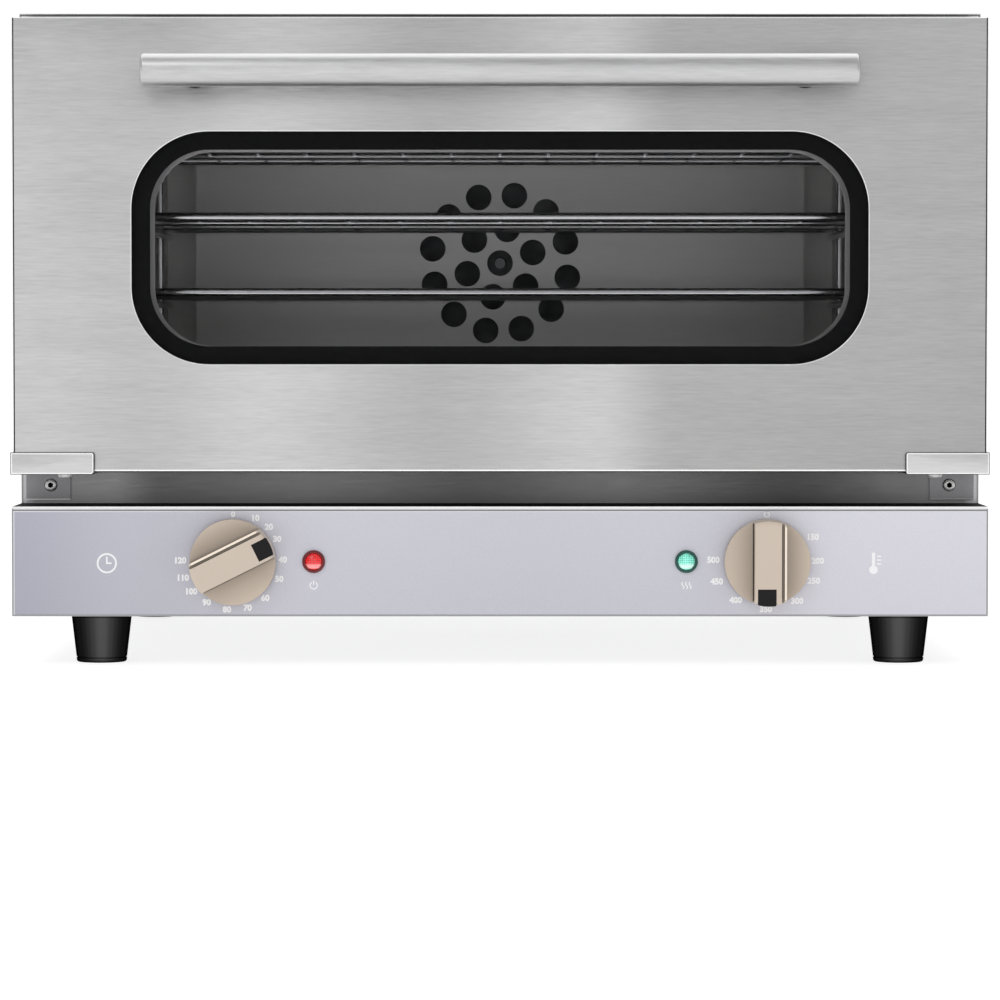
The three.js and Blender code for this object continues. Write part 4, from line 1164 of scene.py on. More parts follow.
def smooth(piece: Piece, angle: float = 32.0) -> Piece:
    """Shades a piece smooth, apart from edges sharper than an angle in degrees."""
    activate(piece)
    bpy.ops.object.shade_smooth_by_angle(angle=math.radians(angle))
    return piece


def refined(piece: Piece, levels: int) -> Piece:
    """Applies a subdivision surface, which turns a coarse tube round.

    Args:
        piece: the object.
        levels: how many times it is divided.

    Returns:
        The same piece.
    """
    return smooth(modified(piece, "SUBSURF", levels=levels, render_levels=levels), 60.0)


def copied(piece: Piece, name: str, offset: Point) -> Piece:
    """A copy with its own mesh, moved by an offset.

    Args:
        piece: what is copied.
        name: the copy's name.
        offset: how far it is moved.

    Returns:
        The copy.
    """
    twin = piece.copy()
    twin.data = piece.data.copy()
    bpy.context.scene.collection.objects.link(twin)
    twin.location = offset
    return settle(twin, name)


def repeated(name: str, model: Piece, places: Sequence[Point]) -> Piece:
    """One object of a model and its copies.

    Args:
        name: the object's name.
        model: a piece that stands at the first place.
        places: where the pieces stand.

    Returns:
        The object.
    """
    first = Vector(places[0])
    copies = [copied(model, f"{name}_copy", Vector(place) - first) for place in places[1:]]
    return joined(name, [model, *copies])


def wire_loop(name: str, low: Point, high: Point, radius: float, corner: float) -> Piece:
    """A level ring of wire with rounded corners.

    Args:
        name: its name.
        low: the lowest corner of its centre line.
        high: the highest corner, at the same height.
        radius: the wire's radius.
        corner: the corners' radius at the centre line.

    Returns:
        The ring.
    """
    deselect()
    centre = [(a + b) / 2 for a, b in zip(low, high)]
    bpy.ops.mesh.primitive_plane_add(size=1.0, location=centre)
    piece = bpy.context.object
    piece.scale = (high[0] - low[0], high[1] - low[1], 1.0)
    edit_all(settle(piece, name))
    bpy.ops.mesh.bevel(offset=corner, segments=6, affect="VERTICES")
    bpy.ops.mesh.delete(type="ONLY_FACE")
    leave_edit()
    bpy.ops.object.convert(target="CURVE")
    curve = bpy.context.object
    curve.data.bevel_depth = radius
    curve.data.bevel_resolution = 3
    bpy.ops.object.convert(target="MESH")
    return smooth(settle(bpy.context.object, name), 60.0)


def redress(piece: Piece, finish: Finish, test: FaceTest) -> None:
    """Gives some of a piece's faces another finish.

    Args:
        piece: a dressed piece.
        finish: the other finish.
        test: says whether a face gets it.
    """
    piece.data.materials.append(finish.material())
    piece.active_material_index = len(piece.data.materials) - 1
    pick(piece, Part.FACE, test)
    bpy.ops.object.material_slot_assign()
    leave_edit()


def split(piece: Piece, axis: int, place: float) -> Piece:
    """Cuts new edges through a piece's faces along a plane, so each side can be dressed apart.

    Args:
        piece: the object.
        axis: the axis that the plane lies across, numbered as for runs_along.
        place: where it lies on that axis.

    Returns:
        The same piece.
    """
    normal = Vector([float(each == axis) for each in range(3)])
    edit_all(piece)
    bpy.ops.mesh.bisect(plane_co=place * normal, plane_no=normal)
    leave_edit()
    return piece


def banded(piece: Piece, test: FaceTest, bands: Sequence[tuple[Finish, float]]) -> None:
    """Runs bands of other finishes round the edge of a flat face.

    Args:
        piece: a dressed piece.
        test: says whether a face belongs to the flat face.
        bands: each band's finish and width, from the outside in.
    """
    for finish, _ in bands:
        piece.data.materials.append(finish.material())
    first = len(piece.data.materials) - len(bands)
    pick(piece, Part.FACE, test)
    for i, (_, width) in enumerate(bands):
        piece.active_material_index = first + i
        bpy.ops.object.material_slot_assign()
        bpy.ops.mesh.inset(thickness=width)
    piece.active_material_index = 0
    bpy.ops.object.material_slot_assign()
    leave_edit()


def is_fold(face: bmesh.types.BMFace) -> bool:
    """Whether a face softens an edge, so that it faces along no axis."""
    return max(abs(part) for part in face.normal) < 0.99


# Sub-assemblies


@dataclass
class SubAssembly:
    """What every sub-assembly shares: the CAD frame and the pieces it has made."""

    frame: dict[str, Any]
    made: list[Piece] = field(default_factory=list)

    def copy_of(self, node: str) -> Piece:
        """A merged copy of a CAD node's mesh, to be finished as a piece.

        Args:
            node: the CAD node.

        Returns:
            The copy.
        """
        source = self.frame["nodes"][node]
        piece = bpy.data.objects.new(f"{node}_finished", source.data.copy())
        piece.data.materials.clear()
        bpy.context.scene.collection.objects.link(piece)
        return weld(piece)

    def place(
        self, piece: Piece, body: Body, finish: Finish | None, slot: str, *nodes: str
    ) -> Piece:
        """Dresses a finished piece and hangs it on its body.

        Args:
            piece: the piece, with its place in its mesh.
            body: what it moves with.
            finish: its finish, or None for a piece that is already dressed.
            slot: the record's material slot; not used.
            nodes: the CAD nodes it stands for.

        Returns:
            The same piece.
        """
        if finish:
            piece.data.materials.clear()
            piece.data.materials.append(finish.material())
        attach(piece, body.value)
        if nodes:
            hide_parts(*nodes)
        self.made.append(piece)
        return piece

    def sheet(
        self,
        node: str,
        finish: Finish,
        slot: str,
        body: Body = Body.CABINET,
        edge: float = 0.3 * MM,
    ) -> Piece:
        """Stands a softened copy in for a sheet-metal node.

        Args:
            node: the CAD node.
            finish: its finish.
            slot: the record's material slot.
            body: what it moves with.
            edge: the width of its softened edges.

        Returns:
            The piece.
        """
        piece = soften(self.copy_of(node), edge)
        return self.place(piece, body, finish, slot, node)

    def paint(self, node: str, finish: Finish) -> None:
        """Gives a CAD node that stays a finish of its own."""
        target = self.frame["nodes"][node]
        target.data.materials.clear()
        target.data.materials.append(finish.material())

    def report(self) -> None:
        """Names what was made, with its face counts."""
        owner = type(self).__name__
        for piece in self.made:
            log.info("%s: %s, %d faces", owner, piece.name, len(piece.data.polygons))


# A pan head's outline, as shares of its radius and its height
PAN_HEAD = ((1.0, 0.0), (1.0, 0.3), (0.91, 0.5), (0.87, 0.8), (0.76, 0.95), (0.6, 1.0))


def pan_screw(
    name: str, place: Point, facing: Facing, radius: float, height: float, outlined: bool = False
) -> Piece:
    """A pan-head screw with a hexagonal socket.

    Args:
        name: its name.
        place: the middle of the head's underside.
        facing: the way the head points.
        radius: the head's radius.
        height: the head's height.
        outlined: whether painted shade darkens the head's flank.

    Returns:
        The screw's head.
    """
    profile = [(radius * across, height * up) for across, up in PAN_HEAD]
    head = turned(name, profile, (0, 0, 0), Facing.UP, 40)
    socket = rod("socket", (0, 0, height * 0.15), (0, 0, height * 1.5), radius * 0.46, 6)
    weld(cut(head, socket))
    smooth(head, 30.0)
    head.data.materials.append(Finishes.SCREW.material())

    def is_dark(face: bmesh.types.BMFace) -> bool:
        """Whether a face takes painted shade: it lines the socket or lies on the head's flank."""
        middle = centre_of(face)
        in_socket = math.hypot(middle.x, middle.y) < radius * 0.45 and middle.z < height * 0.95
        return in_socket or (outlined and middle.z < height * 0.48)

    redress(head, Finishes.SOCKET, is_dark)
    head.rotation_euler = facing.value
    head.location = place
    return settle(head, name)


@dataclass
class Casing(SubAssembly):
    """Side panels, top cover, back panel, base pan, front frame and the screws that hold them."""

    fold: float = 0.7 * MM
    screw_radius: float = 3.4 * MM
    screw_height: float = 1.5 * MM
    cover_screws: int = 3
    cover_margin: float = 60 * MM
    cover_rise: float = 11 * MM
    back_margin: float = 9 * MM

    def build(self) -> None:
        """Builds the casing."""
        for side in Side:
            self.sheet(f"side_panel_{side.word}", Finishes.CASING_SIDE, "casing_steel")
            self._cover_screws(side)
        self.sheet("top_cover", Finishes.CASING_TOP, "casing_steel", edge=self.fold)
        self.sheet("back_panel", Finishes.CASING_TOP, "casing_steel")
        self.sheet("base_pan", Finishes.PAN, "frame_steel")
        # The front frame's rail takes painted shade and painted reflections
        self.sheet("front_frame", Finishes.RAIL, "frame_steel")
        self._back_screws()

    def _cover_screws(self, side: Side) -> None:
        """Puts low screws through the top cover's flange on one side.

        Args:
            side: the side of the oven.
        """
        low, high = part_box("top_cover")
        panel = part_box(f"side_panel_{side.word}")
        facing = Facing.LEFT if side is Side.LEFT else Facing.RIGHT
        face = high.x if side is Side.RIGHT else low.x
        first = panel[0].y + self.cover_margin
        step = (panel[1].y - self.cover_margin - first) / (self.cover_screws - 1)
        z = low.z + self.cover_rise
        places = [(face, first + i * step, z) for i in range(self.cover_screws)]
        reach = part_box("hinge_bracket_right")[1].x - high.x
        height = min(self.screw_height, reach * 0.9)
        self._screws(f"cover_screws_{side.word}", places, facing, height)

    def _back_screws(self) -> None:
        """Puts screws round the rim of the back panel."""
        low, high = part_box("back_panel")
        margin, y = self.back_margin, high.y
        xs = [low.x + margin, low.x / 3, high.x / 3, high.x - margin]
        places = [(x, y, z) for x in xs for z in (low.z + margin, high.z - margin)]
        places += [(x, y, (low.z + high.z) / 2) for x in (xs[0], xs[-1])]
        self._screws("back_screws", places, Facing.BACK, self.screw_height)

    def _screws(
        self, name: str, places: Sequence[Point], facing: Facing, height: float
    ) -> None:
        """Puts a row of pan screws on the casing.

        Args:
            name: the row's name.
            places: where the heads' undersides lie.
            facing: the way the heads point.
            height: the heads' height.
        """
        model = pan_screw("casing_screw", places[0], facing, self.screw_radius, height)
        self.place(repeated(name, model, places), Body.CABINET, None, "wire_chrome")


@dataclass
class ControlStrip(SubAssembly):
    """The strip below the door: panel, film, numbers, signs and the controls' bodies behind."""

    print_height: float = 0.06 * MM
    keyline_width: float = 0.6 * MM
    keyline_band: float = 1.5 * MM
    keyline_crest: float = 0.5 * MM
    digit_height: float = 3.6 * MM
    digit_weight: float = 0.27 * MM
    capital_share: float = 0.72
    fold: float = 0.7 * MM
    rest_mark_reach: float = 28.6 * MM
    clock_offset: Spot = (-77 * MM, -1 * MM)
    thermometer_offset: Spot = (65 * MM, -1 * MM)
    lamp_sign_drop: float = 14.5 * MM
    # Each number, its angle clockwise from the top and its distance from the middle in mm
    timer_numbers: Marks = (
        ("0", 0.0, 28.8),
        ("10", 27.0, 29.6),
        ("20", 46.0, 30.2),
        ("30", 63.0, 30.0),
        ("40", 88.0, 30.2),
        ("50", 111.0, 30.0),
        ("60", 139.0, 29.6),
        ("70", 163.0, 29.6),
        ("80", 187.5, 29.6),
        ("90", 213.0, 29.8),
        ("100", 234.5, 31.6),
        ("110", 252.0, 32.4),
        ("120", 271.0, 32.4),
    )
    temp_numbers: Marks = (
        ("150", 62.0, 31.6),
        ("200", 89.5, 31.0),
        ("250", 112.5, 31.0),
        ("300", 142.5, 30.4),
        ("350", 181.0, 29.2),
        ("400", 218.5, 30.2),
        ("450", 248.0, 32.8),
        ("500", 271.5, 32.6),
    )

    def build(self) -> None:
        """Builds the strip and its print."""
        self._panel()
        self.sheet("fascia_overlay", Finishes.FASCIA, "fascia_print", edge=0.12 * MM)
        self._keyline()
        for node in ("timer_body", "thermostat_body"):
            self.sheet(node, Finishes.ALLOY, "cast_alloy", edge=0.8 * MM)
        for node in ("power_lamp_body", "heating_lamp_body"):
            self.sheet(node, Finishes.BLACK, "black_plastic", edge=0.5 * MM)
        self._numbers("timer_numbers", "timer_knob", self.timer_numbers)
        self._numbers("temperature_numbers", "temp_knob", self.temp_numbers)
        lamp_offset = (0.0, -self.lamp_sign_drop)
        for name, node, offset, strokes in (
            ("temperature_rest_mark", "temp_knob", (0.0, self.rest_mark_reach), self._rest_mark),
            ("timer_sign", "timer_knob", self.clock_offset, self._clock),
            ("temperature_sign", "temp_knob", self.thermometer_offset, self._thermometer),
            ("power_sign", "power_lens", lamp_offset, self._power_sign),
            ("heating_sign", "heating_lens", lamp_offset, self._heat_sign),
        ):
            x, _, z = middle_of(node)
            self._ink(joined(name, strokes(x + offset[0], z + offset[1])))

    @property
    def face(self) -> float:
        """The Y of the film's front."""
        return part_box("fascia_overlay")[0].y

    def _panel(self) -> None:
        """Dresses the folded panel: painted shade on its front, a painted highlight on the fold above
        the film and painted shade on the ledge.
        """
        panel = self.sheet("control_panel", Finishes.STRIP, "casing_steel", edge=self.fold)
        low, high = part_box("control_panel")
        film_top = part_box("fascia_overlay")[1].z
        split(panel, 2, film_top)

        def at_front(face: bmesh.types.BMFace) -> bool:
            """Whether a face lies on the strip's front or folds back from it."""
            near = centre_of(face).y < low.y + self.fold + 0.1 * MM
            return near and (face.normal.y < -0.9 or is_fold(face))

        def on_crest(face: bmesh.types.BMFace) -> bool:
            """Whether a face of the front lies above the film."""
            return at_front(face) and centre_of(face).z > film_top

        def on_ledge(face: bmesh.types.BMFace) -> bool:
            """Whether a face lies on the strip's level top."""
            return face.normal.z > 0.9 and centre_of(face).z > high.z - MM

        # Painted shade on the strip's front and folds
        redress(panel, Finishes.MARGIN, at_front)
        # Painted highlight on the fold above the film
        redress(panel, Finishes.FOLD, on_crest)
        # Painted shade on the ledge
        redress(panel, Finishes.LEDGE, on_ledge)

    def _keyline(self) -> None:
        """Lays a pale painted highlight inside the film's edge, under a band of painted shade along
        its top with a white painted highlight at its crest.
        """
        low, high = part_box("fascia_overlay")
        over, width, past = self.print_height, self.keyline_width, 5 * MM
        band, crest = high.z - self.keyline_band, high.z - self.keyline_crest
        front, back = low.y - over, low.y - over / 3
        line = block("film_keyline", (low.x, front, low.z), (high.x, back, high.z))
        start = (low.x + width, low.y - past, low.z - past)
        hole = block("hole", start, (high.x - width, low.y + past, band - width))
        self.place(weld(cut(line, hole)), Body.CABINET, Finishes.PALE_LINE, "fascia_print")
        # Painted shade in the grey band along the top, and a white painted highlight at the crest
        for height, finish in ((band, Finishes.KEYLINE), (crest, Finishes.WHITE_PRINT)):
            split(line, 2, height)
            redress(line, finish, lambda face, height=height: centre_of(face).z > height)

    def _ink(self, piece: Piece) -> Piece:
        """Hangs a printed sign on the cabinet."""
        return self.place(piece, Body.CABINET, Finishes.WHITE_PRINT, "fascia_print")

    def _numbers(self, name: str, knob: str, marks: Marks) -> None:
        """Prints the numbers round a knob.

        Args:
            name: the piece's name.
            knob: the knob's CAD node.
            marks: each number, its angle and its distance from the knob's middle.
        """
        x, _, z = middle_of(knob)
        digits = []
        for text, degrees, radius in marks:
            angle, reach = math.radians(degrees), radius * MM
            across, up = reach * math.sin(angle), reach * math.cos(angle)
            digits.append(self._number(text, x + across, z + up))
        self._ink(joined(name, digits))

    def _number(self, text: str, x: float, z: float) -> Piece:
        """One number, as a thin raised print.

        Args:
            text: its digits.
            x: its middle.
            z: its middle.

        Returns:
            The mesh.
        """
        deselect()
        bpy.ops.object.text_add(location=(0, 0, 0))
        label = bpy.context.object
        label.data.body = text
        label.data.size = self.digit_height / self.capital_share
        label.data.align_x = "CENTER"
        label.data.align_y = "CENTER"
        label.data.extrude = self.print_height / 2
        label.data.offset = self.digit_weight
        label.data.resolution_u = 3
        bpy.ops.object.convert(target="MESH")
        label = bpy.context.object
        label.rotation_euler = Facing.FRONT.value
        label.location = (x, self.face - self.print_height / 2, z)
        return settle(label, f"number_{text}")

    def _bar(self, start: Spot, end: Spot, width: float) -> Piece:
        """A straight printed stroke.

        Args:
            start: its start, as X and Z.
            end: its end.
            width: the stroke's width.

        Returns:
            The mesh.
        """
        across, up = end[0] - start[0], end[1] - start[1]
        low = (0, -self.print_height, -width / 2)
        stroke = block("stroke", low, (math.hypot(across, up), 0, width / 2))
        stroke.rotation_euler = (0, -math.atan2(up, across), 0)
        stroke.location = (start[0], self.face, start[1])
        return settle(stroke, "stroke")

    def _arc(
        self, centre: Spot, radius: float, width: float, first: float = 0.0, last: float = 360.0
    ) -> Piece:
        """A printed arc, kept from a ring of faces.

        Args:
            centre: its X and Z.
            radius: its radius at mid-stroke.
            width: the stroke's width.
            first: where it starts, in degrees anticlockwise from the right.
            last: where it ends.

        Returns:
            The mesh.
        """
        deselect()
        inner = max(radius - width / 2, 0.05 * MM)
        bpy.ops.mesh.primitive_circle_add(vertices=72, radius=inner, fill_type="NOTHING")
        arc = bpy.context.object
        bpy.ops.object.mode_set(mode="EDIT")
        bpy.ops.mesh.select_mode(type="EDGE")
        bpy.ops.mesh.select_all(action="SELECT")
        bpy.ops.mesh.extrude_region_move()
        share = (radius + width / 2) / inner
        bpy.ops.transform.resize(value=(share, share, 1), center_override=(0, 0, 0))
        leave_edit()

        def left_out(face: bmesh.types.BMFace) -> bool:
            """Whether a face lies outside the arc."""
            middle = centre_of(face)
            turn = math.degrees(math.atan2(middle.y, middle.x))
            return (turn - first) % 360 > last - first

        if pick(arc, Part.FACE, left_out):
            bpy.ops.mesh.delete(type="FACE")
        bpy.ops.mesh.select_all(action="SELECT")
        rise = {"value": (0, 0, self.print_height)}
        bpy.ops.mesh.extrude_region_move(TRANSFORM_OT_translate=rise)
        bpy.ops.mesh.select_all(action="SELECT")
        bpy.ops.mesh.normals_make_consistent(inside=False)
        leave_edit()
        arc.rotation_euler = Facing.FRONT.value
        arc.location = (centre[0], self.face, centre[1])
        return settle(arc, "arc")

    def _disc(self, centre: Spot, radius: float) -> Piece:
        """A printed disc."""
        profile = [(radius, 0.0), (radius, self.print_height)]
        return turned("disc", profile, (centre[0], self.face, centre[1]), Facing.FRONT, 40)

    def _rest_mark(self, x: float, z: float) -> list[Piece]:
        """A small open ring where the temperature knob is off."""
        return [self._arc((x, z), 1.6 * MM, 0.6 * MM)]

    def _clock(self, x: float, z: float) -> list[Piece]:
        """A clock face with two hands, beside the timer knob."""
        hand = 1.0 * MM
        return [
            self._arc((x, z), 5.6 * MM, 1.1 * MM),
            self._bar((x, z + 0.5 * MM), (x, z + 4.0 * MM), hand),
            self._bar((x - 0.5 * MM, z), (x + 2.9 * MM, z), hand),
        ]

    def _thermometer(self, x: float, z: float) -> list[Piece]:
        """A thermometer with three marks, beside the temperature knob.

        Args:
            x: its middle.
            z: its middle.

        Returns:
            The strokes.
        """
        near, far = x + 2.2 * MM, x + 4.6 * MM
        heights = [z + height * MM for height in (-0.4, 1.9, 4.2)]
        return [
            self._disc((x, z - 4.0 * MM), 2.6 * MM),
            self._bar((x, z - 1.5 * MM), (x, z + 6.4 * MM), 1.9 * MM),
            *(self._bar((near, height), (far, height), 0.8 * MM) for height in heights),
        ]

    def _power_sign(self, x: float, z: float) -> list[Piece]:
        """A broken ring with a bar, under the red lamp."""
        width = 0.65 * MM
        return [
            self._arc((x, z), 2.2 * MM, width, 125, 415),
            self._bar((x, z + 0.5 * MM), (x, z + 3.0 * MM), width),
        ]

    def _heat_sign(self, x: float, z: float) -> list[Piece]:
        """Three rising waves, each of two arcs, under the green lamp.

        Args:
            x: its middle.
            z: its middle.

        Returns:
            The strokes.
        """
        radius, width = 1.2 * MM, 0.6 * MM
        strokes = []
        for shift in (-2.2 * MM, 0.0, 2.2 * MM):
            lower = (x + shift - 0.5 * MM, z - 1.1 * MM)
            upper = (x + shift + 0.7 * MM, z + 1.0 * MM)
            strokes.append(self._arc(lower, radius, width, -60, 60))
            strokes.append(self._arc(upper, radius, width, 120, 240))
        return strokes


@dataclass
class Knob(SubAssembly):
    """A control knob: a disc with two hollows that leave a grip, and a black tip let into it."""

    prefix: str = "timer"
    body: Body = Body.TIMER
    pointer: float = 63.5
    radius: float = 26.2 * MM
    height: float = 22 * MM
    floor: float = 8 * MM
    rim: float = 13 * MM
    groove_side: float = 10.9 * MM
    plain_side: float = 8.3 * MM
    groove_outer: float = 9.7 * MM
    groove_inner: float = 7.7 * MM
    groove_depth: float = 1.9 * MM
    edge: float = 0.55 * MM
    line_width: float = 0.6 * MM
    line_depth: float = 3 * MM
    tip_middle: float = 1 * MM
    tip_half: float = 5.5 * MM
    tip_length: float = 10.3 * MM
    tip_depth: float = 2.5 * MM
    tip_gap: float = 0.15 * MM
    bore_radius: float = 3.3 * MM
    bore_depth: float = 14 * MM
    past: float = 5 * MM
    columns: int = 14

    def build(self) -> None:
        """Builds the knob, its tip and its shaft."""
        x, _, z = middle_of(f"{self.prefix}_knob")
        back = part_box(f"{self.prefix}_knob")[1].y
        knob = self._foot_line(soften(self._body(), self.edge, 3, 28.0))
        self.place(knob, self.body, Finishes.CHAMPAGNE, "knob_champagne", f"{self.prefix}_knob")
        face = -self.height

        def is_rim(part: bmesh.types.BMFace) -> bool:
            """Whether a face takes the painted highlight: it softens the grip's top or lies on the
            ridge beside its groove.
            """
            middle, tilt = centre_of(part), abs(part.normal.y)
            on_top = abs(middle.y - face) < self.edge
            on_grip = on_top and abs(middle.x) < self.groove_side + self.edge
            softened = abs(part.normal.x) > abs(part.normal.z) and 0.3 < tilt < 0.995
            return on_grip and (softened or -self.groove_side < middle.x < -self.groove_outer)

        redress(knob, Finishes.CHAMPAGNE_EDGE, is_rim)
        knob.rotation_euler = (0, math.radians(self.pointer), 0)
        knob.location = (x, back, z)
        settle(knob, f"{self.prefix}_knob_finished")
        self.sheet(f"{self.prefix}_pointer", Finishes.BLACK, "black_plastic", self.body, 0.3 * MM)
        self.sheet(f"{self.prefix}_shaft", Finishes.HINGE, "hinge_steel", self.body, 0.3 * MM)

    def _body(self) -> Piece:
        """The knob with its pointer up and its back at the origin.

        Returns:
            The knob.
        """
        r, h = self.radius, self.height
        profile = [
            (r * 0.985, 0.0),
            (r, 0.3 * MM),
            (r * 0.985, h - 2.2 * MM),
            (r * 0.972, h - 1.0 * MM),
            (r * 0.93, h - 0.25 * MM),
            (r * 0.86, h),
        ]
        knob = turned("knob", profile, (0, 0, 0), Facing.FRONT, 120)
        cut(knob, self._hollow(-1, self.groove_side), self._hollow(1, self.plain_side))
        cut(knob, self._groove(r * 1.2), self._seat(r * 1.2))
        bore = rod("bore", (0, -self.bore_depth, 0), (0, self.past, 0), self.bore_radius, 24)
        return weld(cut(knob, bore))

    def _groove(self, reach: float) -> Piece:
        """The cutter for the groove along the grip, which narrows towards its floor.

        Args:
            reach: how far it runs to each side of the middle.

        Returns:
            The cutter.
        """
        groove = block(
            "groove",
            (-self.groove_outer, -self.height - 0.2 * MM, -reach),
            (-self.groove_inner, self.groove_depth - self.height, reach),
        )
        middle = -(self.groove_outer + self.groove_inner) / 2
        pick(groove, Part.FACE, lambda face: face.normal.y > 0.9)
        bpy.ops.transform.resize(value=(0.35, 1, 1), center_override=(middle, 0, 0))
        leave_edit()
        return groove

    def _seat(self, reach: float) -> Piece:
        """The cutter for the seat of the black tip.

        Args:
            reach: how far it runs out past the rim.

        Returns:
            The cutter.
        """
        left = self.tip_middle - self.tip_half - self.tip_gap
        right = self.tip_middle + self.tip_half + self.tip_gap
        foot = self.radius - self.tip_length - self.tip_gap
        low = (left, -self.height - self.past, foot)
        return block("seat", low, (right, self.tip_depth - self.height, reach))

    def _foot_line(self, knob: Piece) -> Piece:
        """Cuts the narrow parting line at the foot of the grip's plain side.

        Args:
            knob: the knob, its edges softened.

        Returns:
            The same piece.
        """
        side, reach = self.plain_side, self.radius * 0.9
        line = block(
            "line",
            (side - 0.1 * MM, -self.floor - 1 * MM, -reach),
            (side + self.line_width, self.line_depth - self.floor, reach),
        )
        return smooth(weld(cut(knob, line)), 28.0)

    def _hollow(self, sign: int, inner: float) -> Piece:
        """The cutter for one hollow, whose floor turns up towards the rim.

        Args:
            sign: -1 for the left hollow and 1 for the right one.
            inner: the grip's half-width on that side.

        Returns:
            The cutter.
        """
        outer = self.radius * 1.2
        near, far = sorted((sign * inner, sign * outer))
        top = -self.height - self.past
        tool = block("hollow", (near, top, -outer), (far, -self.floor, outer))
        pick(tool, Part.EDGE, lambda edge: runs_along(edge, 0))
        bpy.ops.mesh.subdivide(number_cuts=self.columns)
        leave_edit()
        for column in range(1, self.columns + 2):
            share = column / (self.columns + 1)
            x = sign * (inner + share * (outer - inner))
            rise = (self.rim - self.floor) * share**2.2

            def on_floor(edge: bmesh.types.BMEdge, x: float = x) -> bool:
                """Whether an edge lies in this column of the floor."""
                return runs_along(edge, 2) and all(
                    abs(v.co.x - x) < 0.01 * MM and abs(v.co.y + self.floor) < 0.01 * MM
                    for v in edge.verts
                )

            pick(tool, Part.EDGE, on_floor)
            bpy.ops.transform.translate(value=(0, -rise, 0))
            leave_edit()
        return tool


@dataclass
class PilotLamp(SubAssembly):
    """A pilot lamp: a coloured ring and a domed lens with prisms behind it."""

    node: str = "power_lens"
    lens: Finish = Finishes.RED
    ring: Finish = Finishes.RED_RING
    slot: str = "red_lens"
    ring_radius: float = 7.0 * MM
    ring_height: float = 2.2 * MM
    stem_radius: float = 5.6 * MM
    dome_radius: float = 5.2 * MM
    dome_rings: int = 9

    def build(self) -> None:
        """Builds the ring and the dome."""
        low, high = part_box(self.node)
        x, _, z = middle_of(self.node)
        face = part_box("fascia_overlay")[0].y
        r, h, dome_r = self.ring_radius, self.ring_height, self.dome_radius
        profile = [
            (self.stem_radius, face - high.y),
            (self.stem_radius, 0.02 * MM),
            (r, 0.05 * MM),
            (r, h * 0.45),
            (r * 0.96, h * 0.8),
            (r * 0.88, h),
            (dome_r + 0.2 * MM, h),
            (dome_r + 0.1 * MM, h * 0.5),
        ]
        ring = turned(f"{self.node}_ring", profile, (x, face, z), Facing.FRONT, 72)
        self.place(smooth(ring, 30.0), Body.CABINET, self.ring, self.slot, self.node)
        rise = face - low.y - h * 0.5
        turns = [i / self.dome_rings * math.pi / 2 for i in range(self.dome_rings)]
        profile = [(dome_r * math.cos(t), h * 0.5 + rise * math.sin(t)) for t in turns]
        dome = turned(f"{self.node}_dome", profile, (x, face, z), Facing.FRONT, 72)
        self.place(smooth(dome, 40.0), Body.CABINET, self.lens, self.slot)


@dataclass
class Feet(SubAssembly):
    """Four rubber feet, turned once and copied."""

    top_radius: float = 18.8 * MM
    bottom_radius: float = 15.3 * MM
    line: float = 0.7 * MM
    sole: float = 2.6 * MM
    shoulder: float = 3.2 * MM
    screw_rise: float = 6 * MM
    screw_radius: float = 4.6 * MM
    screw_height: float = 2.4 * MM

    def build(self) -> None:
        """Builds the feet and the screws in their soles."""
        nodes = [f"foot_{row}_{side.word}" for row in ("front", "rear") for side in Side]
        low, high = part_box(nodes[0])
        x, y, _ = middle_of(nodes[0])
        profile = self._profile(high.z - low.z)
        model = smooth(turned("foot_shape", profile, (x, y, low.z), Facing.UP, 72), 50.0)
        seat = (x, y, self.screw_rise)
        radius, rise = self.screw_radius, self.screw_height
        screw = pan_screw("foot_screw_shape", seat, Facing.DOWN, radius, rise)
        for node in nodes:
            there = middle_of(node)
            offset = (there[0] - x, there[1] - y, 0)
            foot = smooth(copied(model, f"{node}_finished", offset), 50.0)
            self.place(foot, Body.CABINET, Finishes.RUBBER, "foot_rubber", node)
            head = copied(screw, f"{node}_screw", offset)
            self.place(head, Body.CABINET, None, "wire_chrome")
        for shape in (model, screw):
            bpy.data.objects.remove(shape)

    def _profile(self, height: float) -> Profile:
        """A foot's outline, with a fine line round it near its sole and its top.

        Args:
            height: the foot's height.

        Returns:
            Each point's radius and height, from the hole in the sole outwards and up.
        """

        def wall(z: float) -> float:
            """The foot's radius at a height."""
            return self.bottom_radius + (self.top_radius - self.bottom_radius) / height * z

        sole, upper = self.sole, height - self.shoulder
        return [
            (8.5 * MM, self.screw_rise),
            (9 * MM, 0.8 * MM),
            (9.8 * MM, 0.0),
            (self.bottom_radius - 1 * MM, 0.0),
            (self.bottom_radius - 0.3 * MM, 0.35 * MM),
            (wall(1 * MM), 1 * MM),
            (wall(sole), sole),
            (wall(sole) - self.line, sole + 0.25 * MM),
            (wall(sole) - self.line, sole + 0.5 * MM),
            (wall(sole), sole + 0.8 * MM),
            (wall(upper), upper),
            (wall(upper) - self.line, upper + 0.25 * MM),
            (wall(upper) - self.line, upper + 0.5 * MM),
            (wall(upper) + 0.1 * MM, upper + 0.8 * MM),
            (wall(height), height - 0.5 * MM),
            (wall(height) - 0.5 * MM, height),
        ]


